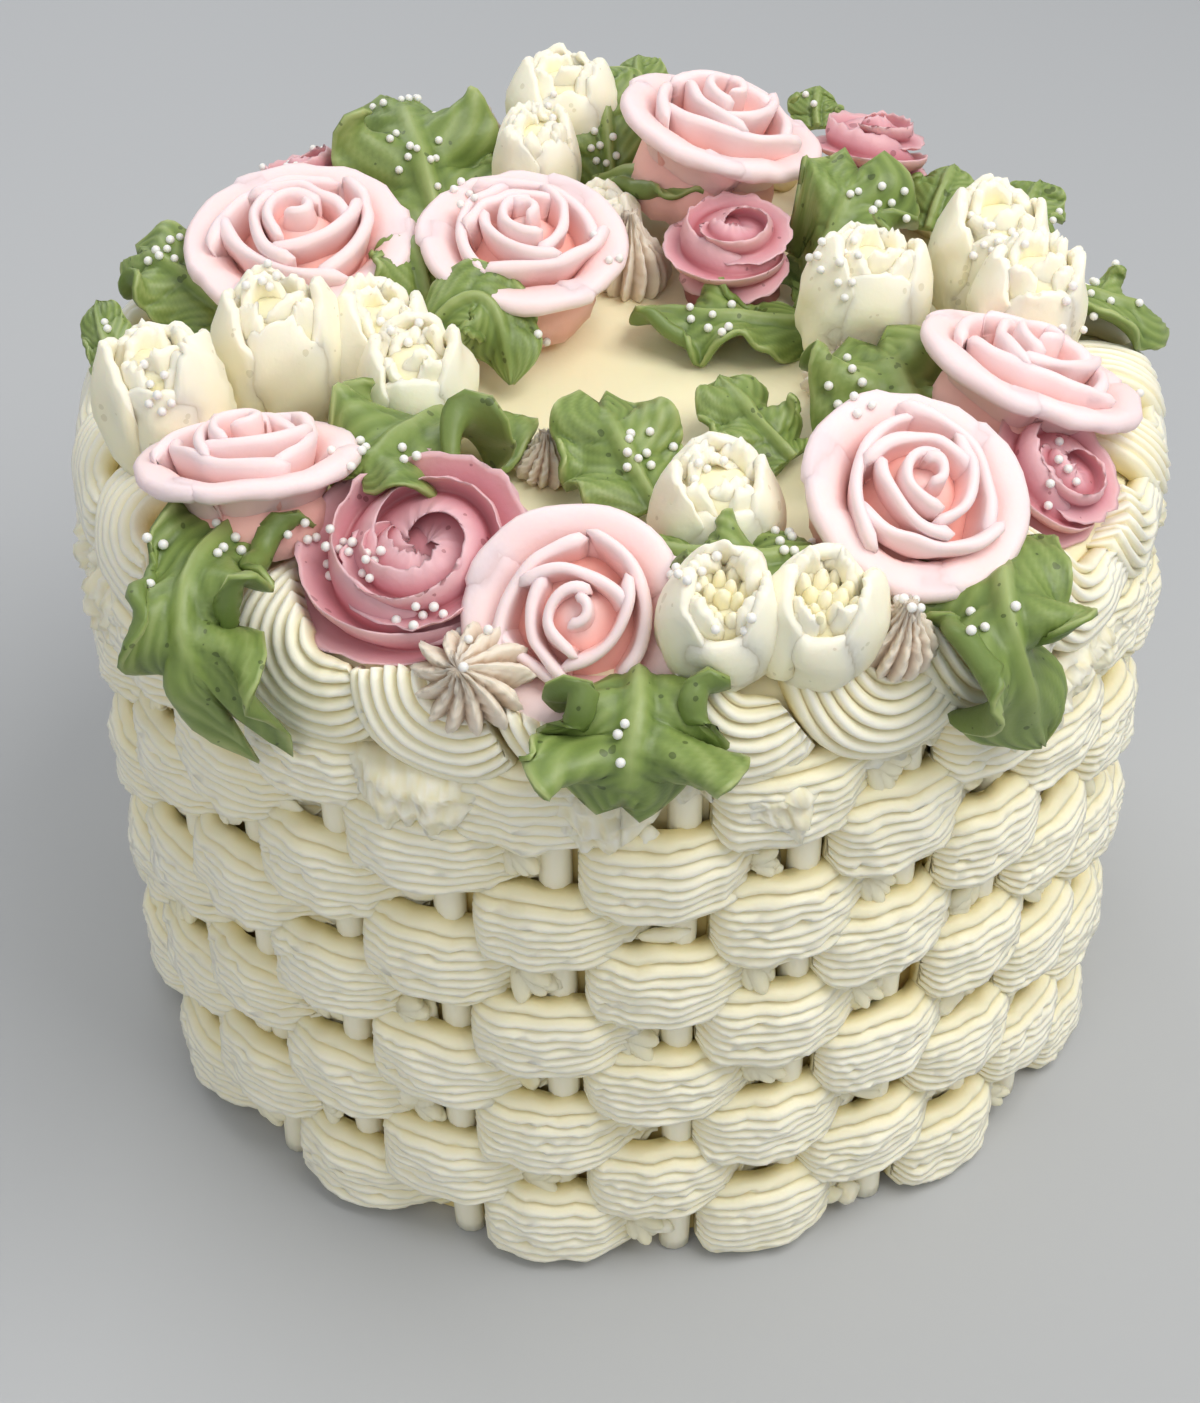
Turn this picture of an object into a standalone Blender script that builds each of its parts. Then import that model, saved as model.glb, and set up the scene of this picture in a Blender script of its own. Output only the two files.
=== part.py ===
"""A tall buttercream cake: a basket-weave side, a scalloped rim and a ring of piped flowers and leaves on top.

The origin is at the middle of the flat underside, +Z is up and the front is at -Y.
Directions round the cake are in degrees from the front (-Y) towards +X.
Tables are in millimetres and degrees; the meshes are in metres.
"""
import math

import bmesh
import bpy
import numpy as np
from mathutils import Matrix, Vector

MM = 0.001

# the cake's body
TOP_HEIGHT = 135.0
TOP_RADIUS = 81.0
SIDE_RADIUS = 96.5

# the basket weave: strokes in 36 columns, at alternate heights from column to column
COLUMNS = 36
WEAVE_ROWS = 8
FIRST_ROW = 12.0
ROW_PITCH = 13.75
STROKE_HALF_HEIGHT = 10.0
STROKE_SWELL = 7.6

# the scalloped rim: its rings from below as radius, height and share of the scallop's swell
SWOOPS = 24
SWOOP_SWELL = 2.4
RIM_PROFILE = [(98.0, 117.5, 0.6), (100.3, 124.0, 1.0), (99.8, 131.5, 1.0), (95.5, 136.8, 0.7)]
RIM_CREST_RADIUS = 88.0
RIM_CREST_HEIGHT = 139.0
AROUND = 72

# beyond this distance from the middle a leaf hangs down the side
OVER_THE_EDGE = 98.0
LEAF_THICKNESS = 2.0
LEAF_CELLS = 4

# room left between two pieces, so that no two solids touch, and how much further a hull's corners move
GAP = 0.4
HULL_GROWTH = 1.7
MERGE_DISTANCE = 0.00002

# base colour and roughness of each icing
MATERIALS = {
    "buttercream": ((0.86, 0.80, 0.60), 0.5),
    "rose_icing": ((0.93, 0.66, 0.66), 0.55),
    "tulip_icing": ((0.90, 0.86, 0.68), 0.5),
    "rosette_icing": ((0.80, 0.42, 0.46), 0.5),
    "star_icing": ((0.56, 0.42, 0.33), 0.5),
    "leaf_icing": ((0.22, 0.33, 0.11), 0.45),
}

# name, middle of the rim, rim radius, height, lean, direction it leans in, turn about its own axis
ROSES = [
    ("rose_1", (-61, 20, 156), 20.5, 19, 10, 0, 15),
    ("rose_2", (-18, 17, 157), 18.5, 18, 12, 20, 70),
    ("rose_3", (21, 56, 162), 19.5, 22, 16, 100, 40),
    ("rose_4", (-62, -54, 156), 17.5, 17, 15, 190, 10),
    ("rose_5", (-7, -87, 145), 17.5, 16, 46, -5, 30),
    ("rose_6", (49, -65, 155), 18.0, 18, 29, 28, 50),
    ("rose_7", (73, -24, 154), 19.5, 17, 22, 118, 20),
]

# name, middle of the mouth, long and short radius, height, lean, direction it leans in, turn
TULIPS = [
    ("tulip_1", (-80, -34, 164), 10.3, 8.8, 27, 4, -90, 0),
    ("tulip_2", (-61, -18, 165), 11.0, 9.0, 28, 2, -90, 10),
    ("tulip_3", (-36, -26, 159), 9.2, 8.8, 22, 3, 0, 0),
    ("tulip_4", (-43, -12, 160), 9.3, 8.5, 24, 8, 180, 20),
    ("tulip_5", (-12, 80, 162), 10.8, 9.0, 24, 5, 180, 0),
    ("tulip_6", (-17, 59, 159), 8.0, 7.8, 22, 3, 0, 30),
    ("tulip_7", (-4, 43, 150), 7.0, 6.5, 14, 0, 0, 0),
    ("tulip_8", (47, 4, 162), 11.0, 9.0, 26, 8, 100, 0),
    ("tulip_9", (71, 17, 164), 10.2, 9.0, 27, 6, 120, 0),
    ("tulip_10", (76, -1, 163), 9.4, 8.5, 26, 6, 80, 0),
    ("tulip_11", (16, -62, 157), 9.8, 9.0, 21, 5, 0, 0),
    ("tulip_12", (16, -92, 157), 9.0, 8.6, 22, 12, 8, 0),
    ("tulip_13", (32, -91, 156), 8.8, 8.6, 21, 12, 20, 0),
]

# name, middle of the crown, radius, height, lean, direction it leans in, turn
ROSETTES = [
    ("rosette_1", (-33, -72, 149), 24.5, 17, 24, -24, 0),
    ("rosette_2", (22, 28, 155), 15.5, 20, 8, 0, 40),
    ("rosette_3", (53, 66, 158), 15.0, 21, 15, 140, 80),
    ("rosette_4", (78, -46, 147), 15.0, 14, 35, 60, 20),
    ("rosette_5", (-66, 68, 147), 13.0, 13, 20, -136, 60),
]

# name, peak, radius, height, lean, direction it leans in, turn
STARS = [
    ("star_1", (-25, -98, 143), 10.0, 10, 40, -14, 0),
    ("star_2", (2, 34, 149), 8.0, 15, 0, 0, 20),
    ("star_3", (45, -89, 148), 6.5, 13, 16, 25, 12),
    ("star_4", (-13, -33, 143), 6.0, 8, 0, 0, 35),
    ("star_5", (41, -7, 144), 7.5, 9, 0, 0, 50),
    ("star_6", (-29, 83, 148), 7.0, 10, 10, -162, 15),
]

# name, root, middle, tip, half width, roll about its length, ruffle depth, ruffle waves, notch at the tip
LEAVES = [
    ("leaf_1", (-37, 52, 139), (-42, 68, 149), (-47, 87, 150), 16, 0, 3.0, 2.0, 0.15),
    ("leaf_2", (-74, 12, 141), (-84, 17, 148), (-94, 26, 147), 10, -20, 2.0, 1.5, 0.15),
    ("leaf_3", (-87, -14, 140), (-95, -2, 143), (-99, 12, 144), 5, -30, 1.5, 1.5, 0.0),
    ("leaf_4", (-2, 66, 141), (-3, 74, 153), (-4, 84, 158), 9, 0, 2.0, 1.5, 0.1),
    ("leaf_5", (-5, 61, 143), (8, 51, 151), (20, 48, 147), 8, 0, 2.5, 1.5, 0.0),
    ("leaf_6", (-36, 8, 143), (-38, 14, 151), (-39, 22, 153), 9, 20, 2.5, 1.5, 0.0),
    ("leaf_7", (-35, -4, 147), (-25, -1, 152), (-20, -9, 139), 8, 20, 2.0, 1.5, 0.0),
    ("leaf_8", (35, 20, 138), (41, 26, 151), (46, 38, 160), 16, 0, 2.5, 2.0, 0.2),
    ("leaf_9", (36, 13, 138), (18, 10, 142), (3, 17, 139), 9, 0, 3.0, 2.0, 0.0),
    ("leaf_10", (78, 22, 142), (90, 10, 146), (103, 14, 139), 9, 0, 2.5, 1.5, 0.1),
    ("leaf_11", (56, -38, 142), (51, -27, 147), (46, -10, 149), 17, 0, 2.5, 2.0, 0.15),
    ("leaf_12", (6, -50, 140), (1, -41, 145), (-4, -28, 148), 11, 0, 2.0, 1.5, 0.15),
    ("leaf_13", (30, -34, 139), (24, -27, 143), (18, -15, 144), 8, 0, 2.5, 2.0, 0.0),
    ("leaf_14", (32, -72, 146), (17, -78, 150), (3, -70, 147), 9, 0, 3.0, 2.0, 0.0),
    ("leaf_15", (-26, -20, 141), (-36, -46, 153), (-43, -59, 152), 15, 0, 3.5, 2.0, 0.1),
    ("leaf_16", (-55, -46, 141), (-69, -84, 148), (-62, -92, 126), 13, 0, 3.5, 3.0, 0.2),
    ("leaf_17", (3, -95, 140), (2, -108, 137), (0, -111, 125), 16, 0, 3.0, 2.0, 0.15),
    ("leaf_18", (63, -62, 143), (62, -87, 142), (70, -84, 116), 14, 0, 3.0, 2.0, 0.0),
    ("leaf_19", (42, 87, 143), (42, 91, 146), (43, 95, 148), 5.5, 0, 1.5, 1.0, 0.0),
    ("leaf_20", (5, 85, 143), (4, 94, 150), (4, 103, 152), 6, 0, 1.5, 1.0, 0.0),
    ("leaf_21", (62, 46, 141), (65, 52, 146), (68, 59, 148), 7, 0, 1.5, 1.5, 0.0),
    ("leaf_22", (77, 38, 141), (81, 44, 147), (84, 50, 149), 7, 0, 1.5, 1.5, 0.0),
]


def clear_scene():
    """Takes away whatever the empty file starts with."""
    for thing in list(bpy.data.objects):
        bpy.data.objects.remove(thing, do_unlink=True)


def make_collection(name):
    """A new collection in the scene."""
    collection = bpy.data.collections.new(name)
    bpy.context.scene.collection.children.link(collection)
    return collection


def make_material(name, color, roughness):
    """A plain Principled material."""
    material = bpy.data.materials.new(name)
    material.use_nodes = True
    shader = material.node_tree.nodes["Principled BSDF"]
    shader.inputs["Base Color"].default_value = (color[0], color[1], color[2], 1.0)
    shader.inputs["Roughness"].default_value = roughness
    shader.inputs["Metallic"].default_value = 0.0
    return material


def direction(degrees):
    """Unit vector on the level, in degrees from the front towards +X."""
    turn = math.radians(degrees)
    return Vector((math.sin(turn), -math.cos(turn), 0.0))


def leaning_rotation(lean, towards, turn):
    """Rotation of a piece that leans towards one side and is turned about its own axis."""
    side = direction(towards).cross(Vector((0.0, 0.0, 1.0)))
    tip = Matrix.Rotation(-math.radians(lean), 3, side)
    spin = Matrix.Rotation(math.radians(turn), 3, "Z")
    return (tip @ spin).to_euler()


def make_object(name, work, collection, material, location=(0.0, 0.0, 0.0), rotation=(0.0, 0.0, 0.0)):
    """An object from an edited mesh, placed by its location in millimetres and its rotation."""
    mesh = bpy.data.meshes.new(name)
    bmesh.ops.recalc_face_normals(work, faces=work.faces)
    work.to_mesh(mesh)
    work.free()
    thing = bpy.data.objects.new(name, mesh)
    collection.objects.link(thing)
    thing.location = Vector(location) * MM
    thing.rotation_euler = rotation
    if material is None:
        thing.hide_render = True
        thing.display_type = "WIRE"
    else:
        mesh.materials.append(material)
    return thing


def ringed_form(around, bottom, rings, top, squash=1.0, extra=0.0):
    """A sphere reshaped ring by ring.

    Each ring is a pair of functions of the angle: how far out and how high, in millimetres.
    bottom and top are the heights of the two poles.
    """
    work = bmesh.new()
    levels = len(rings) + 1
    bmesh.ops.create_uvsphere(work, u_segments=around, v_segments=levels, radius=1.0)
    for vertex in work.verts:
        level = round(levels * (1.0 - math.acos(max(-1.0, min(1.0, vertex.co.z))) / math.pi))
        angle = math.atan2(vertex.co.x, -vertex.co.y) % (2.0 * math.pi)
        if level == 0:
            vertex.co = Vector((0.0, 0.0, bottom - extra)) * MM
        elif level == levels:
            vertex.co = Vector((0.0, 0.0, top + extra)) * MM
        else:
            reach, height = rings[level - 1]
            out = reach(angle) + extra
            up = height(angle)
            vertex.co = Vector((out * math.sin(angle), -squash * out * math.cos(angle), up)) * MM
    return work


def steady(value):
    """A function of the angle that always gives the same value."""
    return lambda angle: value


def waved(base, depth, count, start=0.0):
    """A function of the angle that waves about a base value."""
    return lambda angle: base * (1.0 + depth * math.cos(count * (angle - start)))


def stroke_swell(angle, height):
    """How far the weave stands out: the strokes of even and odd columns sit at alternate heights."""
    column = angle * COLUMNS / (2.0 * math.pi)
    swell = 0.0
    for parity in (0, 1):
        along = column - parity
        along -= 2.0 * round(along / 2.0)
        first_row = FIRST_ROW + parity * ROW_PITCH
        rows_up = (height - first_row) / (2.0 * ROW_PITCH)
        upright = (rows_up - round(rows_up)) * 2.0 * ROW_PITCH
        if abs(upright) < STROKE_HALF_HEIGHT:
            arch = math.cos(0.5 * math.pi * min(1.0, abs(along)))
            roundness = math.sqrt(1.0 - (upright / STROKE_HALF_HEIGHT) ** 2)
            swell = max(swell, STROKE_SWELL * arch * roundness)
    return swell


def rim_swell(angle):
    """Scallop of the rim: one round hump for each swoop."""
    part = (angle * SWOOPS / (2.0 * math.pi)) % 1.0
    return SWOOP_SWELL * math.sin(math.pi * part) ** 0.7


def weave_ring(height):
    """The ring of the side at one height, out to the weave's strokes."""
    return (lambda angle: SIDE_RADIUS + stroke_swell(angle, height), steady(height))


def rim_ring(radius, height, share):
    """One ring of the scalloped rim."""
    return (lambda angle: radius + share * rim_swell(angle), steady(height))


def cake_form(extra):
    """The whole cake: a woven side, a scalloped rim and a flat top. extra makes it larger for a cutter."""
    rings = [(steady(SIDE_RADIUS), steady(-extra))]
    for row in range(WEAVE_ROWS):
        rings.append(weave_ring(FIRST_ROW + row * ROW_PITCH))
    for radius, height, share in RIM_PROFILE:
        rings.append(rim_ring(radius, height + extra, share))
    rings.append((steady(RIM_CREST_RADIUS), steady(RIM_CREST_HEIGHT + extra)))
    rings.append((steady(TOP_RADIUS - 2.0 * extra), steady(TOP_HEIGHT + extra)))
    work = ringed_form(AROUND, 0.0, rings, TOP_HEIGHT, extra=extra)
    bmesh.ops.triangulate(work, faces=work.faces, quad_method="SHORT_EDGE")
    return work


def rose_form(radius, height):
    """A rose, its rim at zero height: a flared cup of five petals, a ring of three and a closed bud."""
    rings = [
        (steady(0.34 * radius), steady(-height)),
        (steady(0.66 * radius), steady(-0.66 * height)),
        (waved(radius, 0.05, 5), waved(-0.14 * height, -0.3, 5)),
        (waved(0.86 * radius, 0.05, 5), waved(-0.02 * height, 0.0, 5)),
        (steady(0.68 * radius), steady(-0.38 * height)),
        (waved(0.58 * radius, 0.07, 3, 0.6), waved(0.08 * height, 0.5, 3, 0.6)),
        (waved(0.36 * radius, 0.07, 3, 0.6), steady(-0.22 * height)),
        (steady(0.24 * radius), steady(0.16 * height)),
    ]
    return ringed_form(15, -height, rings, 0.12 * height)


def tulip_form(long_radius, short_radius, height):
    """A tulip, its mouth at zero height: a cup of four pointed petals round a mound of stamens."""
    rings = [
        (steady(0.55 * long_radius), steady(-height)),
        (steady(0.98 * long_radius), steady(-0.70 * height)),
        (steady(1.00 * long_radius), steady(-0.38 * height)),
        (waved(0.84 * long_radius, -0.05, 4), lambda angle: height * (0.08 * math.cos(4.0 * angle) - 0.03)),
        (steady(0.60 * long_radius), steady(-0.20 * height)),
        (steady(0.26 * long_radius), steady(-0.08 * height)),
    ]
    return ringed_form(8, -height, rings, -0.06 * height, squash=short_radius / long_radius)


def rosette_form(radius, height):
    """A swirled rosette, its crown at zero height: a low dome whose blades wind up to a hollow."""
    rings = [
        (steady(0.82 * radius), steady(-height)),
        (waved(radius, 0.09, 5), steady(-0.70 * height)),
        (waved(0.86 * radius, 0.09, 5, -0.24), steady(-0.34 * height)),
        (waved(0.52 * radius, 0.09, 5, -0.48), steady(0.0)),
        (steady(0.22 * radius), steady(-0.08 * height)),
    ]
    return ringed_form(15, -height, rings, -0.28 * height)


def star_form(radius, height):
    """A piped star, its peak at zero height: sharp ridges that run in to a point."""
    rings = [
        (waved(0.86 * radius, 0.10, 7), steady(-height)),
        (waved(0.88 * radius, 0.13, 7, -0.04), steady(-0.64 * height)),
        (waved(0.52 * radius, 0.16, 7, -0.11), steady(-0.26 * height)),
    ]
    return ringed_form(14, -height, rings, 0.0)


def leaf_point(leaf, along, across):
    """A point of a leaf's middle surface, in millimetres from its root.

    along runs from the root at 0 to the tip at 1, across from one edge at -1 to the other at 1.
    """
    root, middle, tip, half_width, roll, ruffle, waves, notch = leaf
    root, middle, tip = Vector(root), Vector(middle), Vector(tip)
    control = 2.0 * middle - 0.5 * (root + tip)
    reach = along * (1.0 - notch * (1.0 - 1.6 * abs(across)) * along)
    spot = (1.0 - reach) ** 2 * root + 2.0 * reach * (1.0 - reach) * control + reach ** 2 * tip
    forward = (2.0 * (1.0 - reach) * (control - root) + 2.0 * reach * (tip - control)).normalized()
    outward = Vector((spot.x, spot.y, 0.0)).normalized()
    hang = 0.0
    if spot.to_2d().length > OVER_THE_EDGE:
        hang = min(1.0, max(0.0, (TOP_HEIGHT + 8.0 - spot.z) / 16.0))
    facing = outward * hang + Vector((0.0, 0.0, 1.0)) * (1.0 - hang)
    sideways = forward.cross(facing).normalized()
    sideways = Matrix.Rotation(math.radians(roll), 3, forward) @ sideways
    normal = sideways.cross(forward).normalized()
    spread = 0.30 + 0.70 * math.sin(math.pi * min(1.0, 0.12 + 0.80 * along) ** 0.9) ** 0.8
    phase = 2.0 * math.pi * waves * along + (0.0 if across > 0 else 1.7)
    lift = ruffle * abs(across) ** 1.4 * math.sin(phase) * (0.3 + 0.7 * along)
    fold = 0.16 * half_width * abs(across)
    return spot - root + sideways * (across * half_width * spread) + normal * (lift - fold)


def leaf_object(name, leaf, collection, material, extra=0.0):
    """A leaf: an open ruffled sheet made thick by Solidify. extra makes it larger for a cutter."""
    work = bmesh.new()
    bmesh.ops.create_grid(work, x_segments=LEAF_CELLS, y_segments=LEAF_CELLS, size=1.0)
    widened = leaf[:3] + (leaf[3] + extra,) + leaf[4:]
    for vertex in work.verts:
        along = 0.5 * (vertex.co.y + 1.0)
        vertex.co = leaf_point(widened, along, vertex.co.x) * MM
    thing = make_object(name, work, collection, material, location=leaf[0])
    solidify = thing.modifiers.new("thickness", "SOLIDIFY")
    solidify.thickness = (LEAF_THICKNESS + 2.0 * extra) * MM
    solidify.offset = 0.0
    apply_modifiers(thing)
    return thing


def apply_modifiers(thing):
    """Turns an object's modifiers into its own mesh."""
    bpy.context.view_layer.update()
    evaluated = thing.evaluated_get(bpy.context.evaluated_depsgraph_get())
    mesh = bpy.data.meshes.new_from_object(evaluated)
    thing.modifiers.clear()
    thing.data = mesh


def hull_cutter(piece, collection):
    """The convex hull of a piece, grown outwards by the gap, in the same place as the piece."""
    work = bmesh.new()
    work.from_mesh(piece.data)
    result = bmesh.ops.convex_hull(work, input=work.verts)
    hull_faces = {item for item in result["geom"] if isinstance(item, bmesh.types.BMFace)}
    inner_faces = [face for face in work.faces if face not in hull_faces]
    bmesh.ops.delete(work, geom=inner_faces, context="FACES")
    loose = [vertex for vertex in work.verts if not vertex.link_faces]
    bmesh.ops.delete(work, geom=loose, context="VERTS")
    bmesh.ops.recalc_face_normals(work, faces=work.faces)
    work.normal_update()
    moves = [vertex.normal * (HULL_GROWTH * GAP * MM) for vertex in work.verts]
    for vertex, move in zip(work.verts, moves):
        vertex.co += move
    cutter = make_object(piece.name + "_cutter", work, collection, None)
    cutter.location = piece.location
    cutter.rotation_euler = piece.rotation_euler
    bpy.context.view_layer.update()
    return cutter


def box_of(thing):
    """Lowest and highest corner of an object in the world."""
    corners = np.array([(thing.matrix_world @ vertex.co)[:] for vertex in thing.data.vertices])
    return corners.min(axis=0), corners.max(axis=0)


def boxes_meet(first, second):
    """True where the boxes of two objects overlap."""
    first_low, first_high = box_of(first)
    second_low, second_high = box_of(second)
    return bool(np.all(first_low < second_high) and np.all(second_low < first_high))


def cut_clear(piece, cutters):
    """Cuts a piece clear of every cutter that it meets."""
    bpy.context.view_layer.update()
    for cutter in cutters:
        if boxes_meet(piece, cutter):
            modifier = piece.modifiers.new("cut", "BOOLEAN")
            modifier.operation = "DIFFERENCE"
            modifier.solver = "EXACT"
            modifier.object = cutter
            apply_modifiers(piece)
    keep_largest_part(piece)


def islands_of(work):
    """The separate connected parts of a mesh, as lists of faces."""
    unseen = set(work.faces)
    islands = []
    while unseen:
        start = unseen.pop()
        island = [start]
        waiting = [start]
        while waiting:
            face = waiting.pop()
            for edge in face.edges:
                for neighbour in edge.link_faces:
                    if neighbour in unseen:
                        unseen.remove(neighbour)
                        island.append(neighbour)
                        waiting.append(neighbour)
        islands.append(island)
    return islands


def keep_largest_part(piece):
    """Keeps the largest part of a cut piece, as clean triangles."""
    work = bmesh.new()
    work.from_mesh(piece.data)
    islands = islands_of(work)
    islands.sort(key=lambda island: sum(face.calc_area() for face in island), reverse=True)
    for island in islands[1:]:
        bmesh.ops.delete(work, geom=island, context="FACES")
    loose = [vertex for vertex in work.verts if not vertex.link_faces]
    bmesh.ops.delete(work, geom=loose, context="VERTS")
    bmesh.ops.remove_doubles(work, verts=work.verts, dist=MERGE_DISTANCE)
    bmesh.ops.dissolve_degenerate(work, edges=work.edges, dist=MERGE_DISTANCE)
    bmesh.ops.dissolve_limit(work, angle_limit=math.radians(1.0), verts=work.verts, edges=work.edges)
    bmesh.ops.triangulate(work, faces=work.faces)
    bmesh.ops.recalc_face_normals(work, faces=work.faces)
    work.to_mesh(piece.data)
    work.free()


def build():
    """Makes the cake and its pieces, each later piece cut clear of the earlier ones."""
    clear_scene()
    pieces = make_collection("buttercream_cake")
    cutter_collection = make_collection("cutters")
    materials = {name: make_material(name, color, rough) for name, (color, rough) in MATERIALS.items()}
    make_object("cake", cake_form(0.0), pieces, materials["buttercream"])
    cutters = [make_object("cake_cutter", cake_form(GAP), cutter_collection, None)]
    kinds = [
        (ROSES, rose_form, 2, "rose_icing"),
        (TULIPS, tulip_form, 3, "tulip_icing"),
        (ROSETTES, rosette_form, 2, "rosette_icing"),
        (STARS, star_form, 2, "star_icing"),
    ]
    for rows, form, sizes, material_name in kinds:
        for row in rows:
            name, head = row[0], row[1]
            work = form(*row[2:2 + sizes])
            lean, towards, turn = row[2 + sizes:]
            rotation = leaning_rotation(lean, towards, turn)
            piece = make_object(name, work, pieces, materials[material_name], head, rotation)
            cut_clear(piece, cutters)
            cutters.append(hull_cutter(piece, cutter_collection))
    for row in LEAVES:
        name, leaf = row[0], row[1:]
        piece = leaf_object(name, leaf, pieces, materials["leaf_icing"])
        cut_clear(piece, cutters)
        cutters.append(leaf_object(name + "_cutter", leaf, cutter_collection, None, extra=GAP))


build()
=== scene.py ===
"""A buttercream cake: a basket-weave side, a scalloped rim and a ring of piped flowers and leaves.

The origin is at the middle of the flat underside, +Z is up and the front is at -Y.
Tables are in millimetres and degrees; directions are in degrees from the front towards +X.
"""
import math

import bmesh
import bpy
import numpy as np
from mathutils import Matrix, Vector
from mathutils.bvhtree import BVHTree


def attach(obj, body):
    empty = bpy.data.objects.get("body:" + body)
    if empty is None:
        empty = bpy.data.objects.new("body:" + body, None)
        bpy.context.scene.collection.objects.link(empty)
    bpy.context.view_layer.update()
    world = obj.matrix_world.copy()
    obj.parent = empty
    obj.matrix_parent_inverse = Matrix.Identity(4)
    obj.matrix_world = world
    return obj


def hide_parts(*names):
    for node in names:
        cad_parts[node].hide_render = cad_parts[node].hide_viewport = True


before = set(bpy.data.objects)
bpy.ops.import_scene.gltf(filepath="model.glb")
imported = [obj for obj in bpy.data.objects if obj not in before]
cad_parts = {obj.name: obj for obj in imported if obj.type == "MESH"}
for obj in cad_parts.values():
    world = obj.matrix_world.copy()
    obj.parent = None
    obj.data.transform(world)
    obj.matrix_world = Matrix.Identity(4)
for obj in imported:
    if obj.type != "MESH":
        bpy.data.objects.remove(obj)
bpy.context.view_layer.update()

MM = 0.001

# the photograph's frame and the camera that took it
PHOTO_WIDTH = 1200
PHOTO_HEIGHT = 1403
FOCAL_PIXELS = 2400.0
CAMERA_PLACE = (0.0, -387.1, 375.7)
CAMERA_PITCH = 39.57
CAMERA_YAW = -0.64
CAMERA_ROLL = -0.45

# the cake's body and its weave
TOP_HEIGHT = 135.0
CORE_RADIUS = 94.6
COLUMNS = 30
COLUMN_STEP = 12.0
FIRST_STRIP = 6.0
EVEN_COLUMN_HEIGHTS = [23.2, 49.6, 76.0, 102.4]
ODD_COLUMN_HEIGHTS = [10.2, 36.4, 62.8, 89.2, 115.0]
STROKE_RIDGES = 8
STROKE_GROOVE = 1.6
STROKE_STEPS = 24
LOWEST_STROKE = 0.3

# how many points the hidden inner side of a stroke or swoop has across it
INNER_POINTS = 4

# a stroke from its blunt left end to its torn right end, by columns from its own strip:
# how far its front stands from the cake's axis, and half its height
STROKE_FRONT = [
    (-0.86, 100.5), (-0.7, 102.6), (-0.4, 104.2), (-0.1, 104.6), (0.3, 102.8), (0.6, 98.8), (0.95, 95.2),
]
STROKE_HALF = [(-0.86, 8.2), (-0.70, 9.2), (-0.45, 9.7), (0.0, 9.6), (0.4, 8.6), (0.95, 5.5)]

# the rim's section from the flat top out over the edge, as radius and height
RIM_PATH = [
    (80.0, 134.8), (85.0, 136.6), (90.5, 137.0), (95.6, 134.8),
    (98.6, 129.6), (99.4, 123.0), (98.6, 116.0), (96.5, 108.0),
]
RIM_RADIUS = 98.0

# the smear under the rim: where it starts, and its section as shares of the way down and out
COLLAR_RADIUS = 95.5
COLLAR_TOP = 121.0
COLLAR_SIDES = 720
COLLAR_SECTION = [
    (0.0, 0.0), (0.0, 0.55), (0.12, 0.80), (0.25, 0.93), (0.38, 0.98), (0.50, 1.0), (0.62, 1.0),
    (0.74, 0.99), (0.85, 0.96), (0.94, 0.90), (1.0, 0.80), (1.0, 0.50), (0.6, 0.0),
]

# the rim's swoops
SWOOPS = 26
SWOOP_RIDGES = 7
SWOOP_GROOVE = 1.9
SWOOP_HALF_WIDTH = 7.6
SWOOP_OUTER_RADIUS = 19.5
SWOOP_STRAIGHT = 11.0
SWOOP_STEPS = 30


def direction(degrees):
    """Unit vector on the level, in degrees from the front towards +X."""
    turn = math.radians(degrees)
    return Vector((math.sin(turn), -math.cos(turn), 0.0))


def stacked(*parts):
    """Points from their coordinates, which may be numbers or arrays."""
    return np.stack(np.broadcast_arrays(*parts), axis=-1)


def about_axis(angle, out, up, squash=1.0):
    """Points from angles in radians, distances from an axis and heights, squashed from front to back."""
    return stacked(out * np.sin(angle), -out * np.cos(angle) * squash, up)


def polar(angle, radius, height):
    """Points from angles in degrees round the cake, radii and heights."""
    return about_axis(np.radians(angle), radius, height)


def knots(value, table):
    """Smooth values through a table of (place, value) pairs."""
    places = np.array([pair[0] for pair in table])
    levels = np.array([pair[1] for pair in table])
    slopes = np.gradient(levels, places)
    index = np.clip(np.searchsorted(places, value) - 1, 0, len(places) - 2)
    step = places[index + 1] - places[index]
    part = np.clip((value - places[index]) / step, 0.0, 1.0)
    start = (1.0 + 2.0 * part) * (1.0 - part) ** 2 * levels[index]
    rise = part * (1.0 - part) ** 2 * step * slopes[index]
    finish = part ** 2 * (3.0 - 2.0 * part) * levels[index + 1]
    fall = part ** 2 * (part - 1.0) * step * slopes[index + 1]
    return start + rise + finish + fall


def grow(value, start, end):
    """0 before the start, 1 after the end and an even rise between them."""
    return np.clip((value - start) / (end - start), 0.0, 1.0)


def scaled(profile, radius, height):
    """A section given by shares of a radius and a height, in millimetres."""
    return [(out * radius, up * height) for out, up in profile]


def unit(vectors):
    """Vectors brought to a length of 1."""
    return vectors / (np.linalg.norm(vectors, axis=-1, keepdims=True) + 1e-9)


def any_seed(chance):
    """A seed for another row of random numbers."""
    return int(chance.integers(1 << 30))


def ripple(points, wavelength, seed):
    """Smooth noise of about -1 to 1 at each point, from sines in several directions."""
    chance = np.random.default_rng(seed)
    total = 0.0
    for _ in range(6):
        way = chance.normal(size=points.shape[-1])
        way *= 2.0 * math.pi * chance.uniform(0.7, 1.5) / (wavelength * np.linalg.norm(way))
        total = total + np.sin(points @ way + chance.uniform(0.0, 2.0 * math.pi))
    return total / 2.6


def add_object(name, data):
    """A new object in the scene."""
    thing = bpy.data.objects.new(name, data)
    bpy.context.scene.collection.objects.link(thing)
    return thing


def smooth_mesh(work, mesh):
    """Writes a worked mesh back, shaded smooth."""
    for face in work.faces:
        face.smooth = True
    work.to_mesh(mesh)
    work.free()


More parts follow.
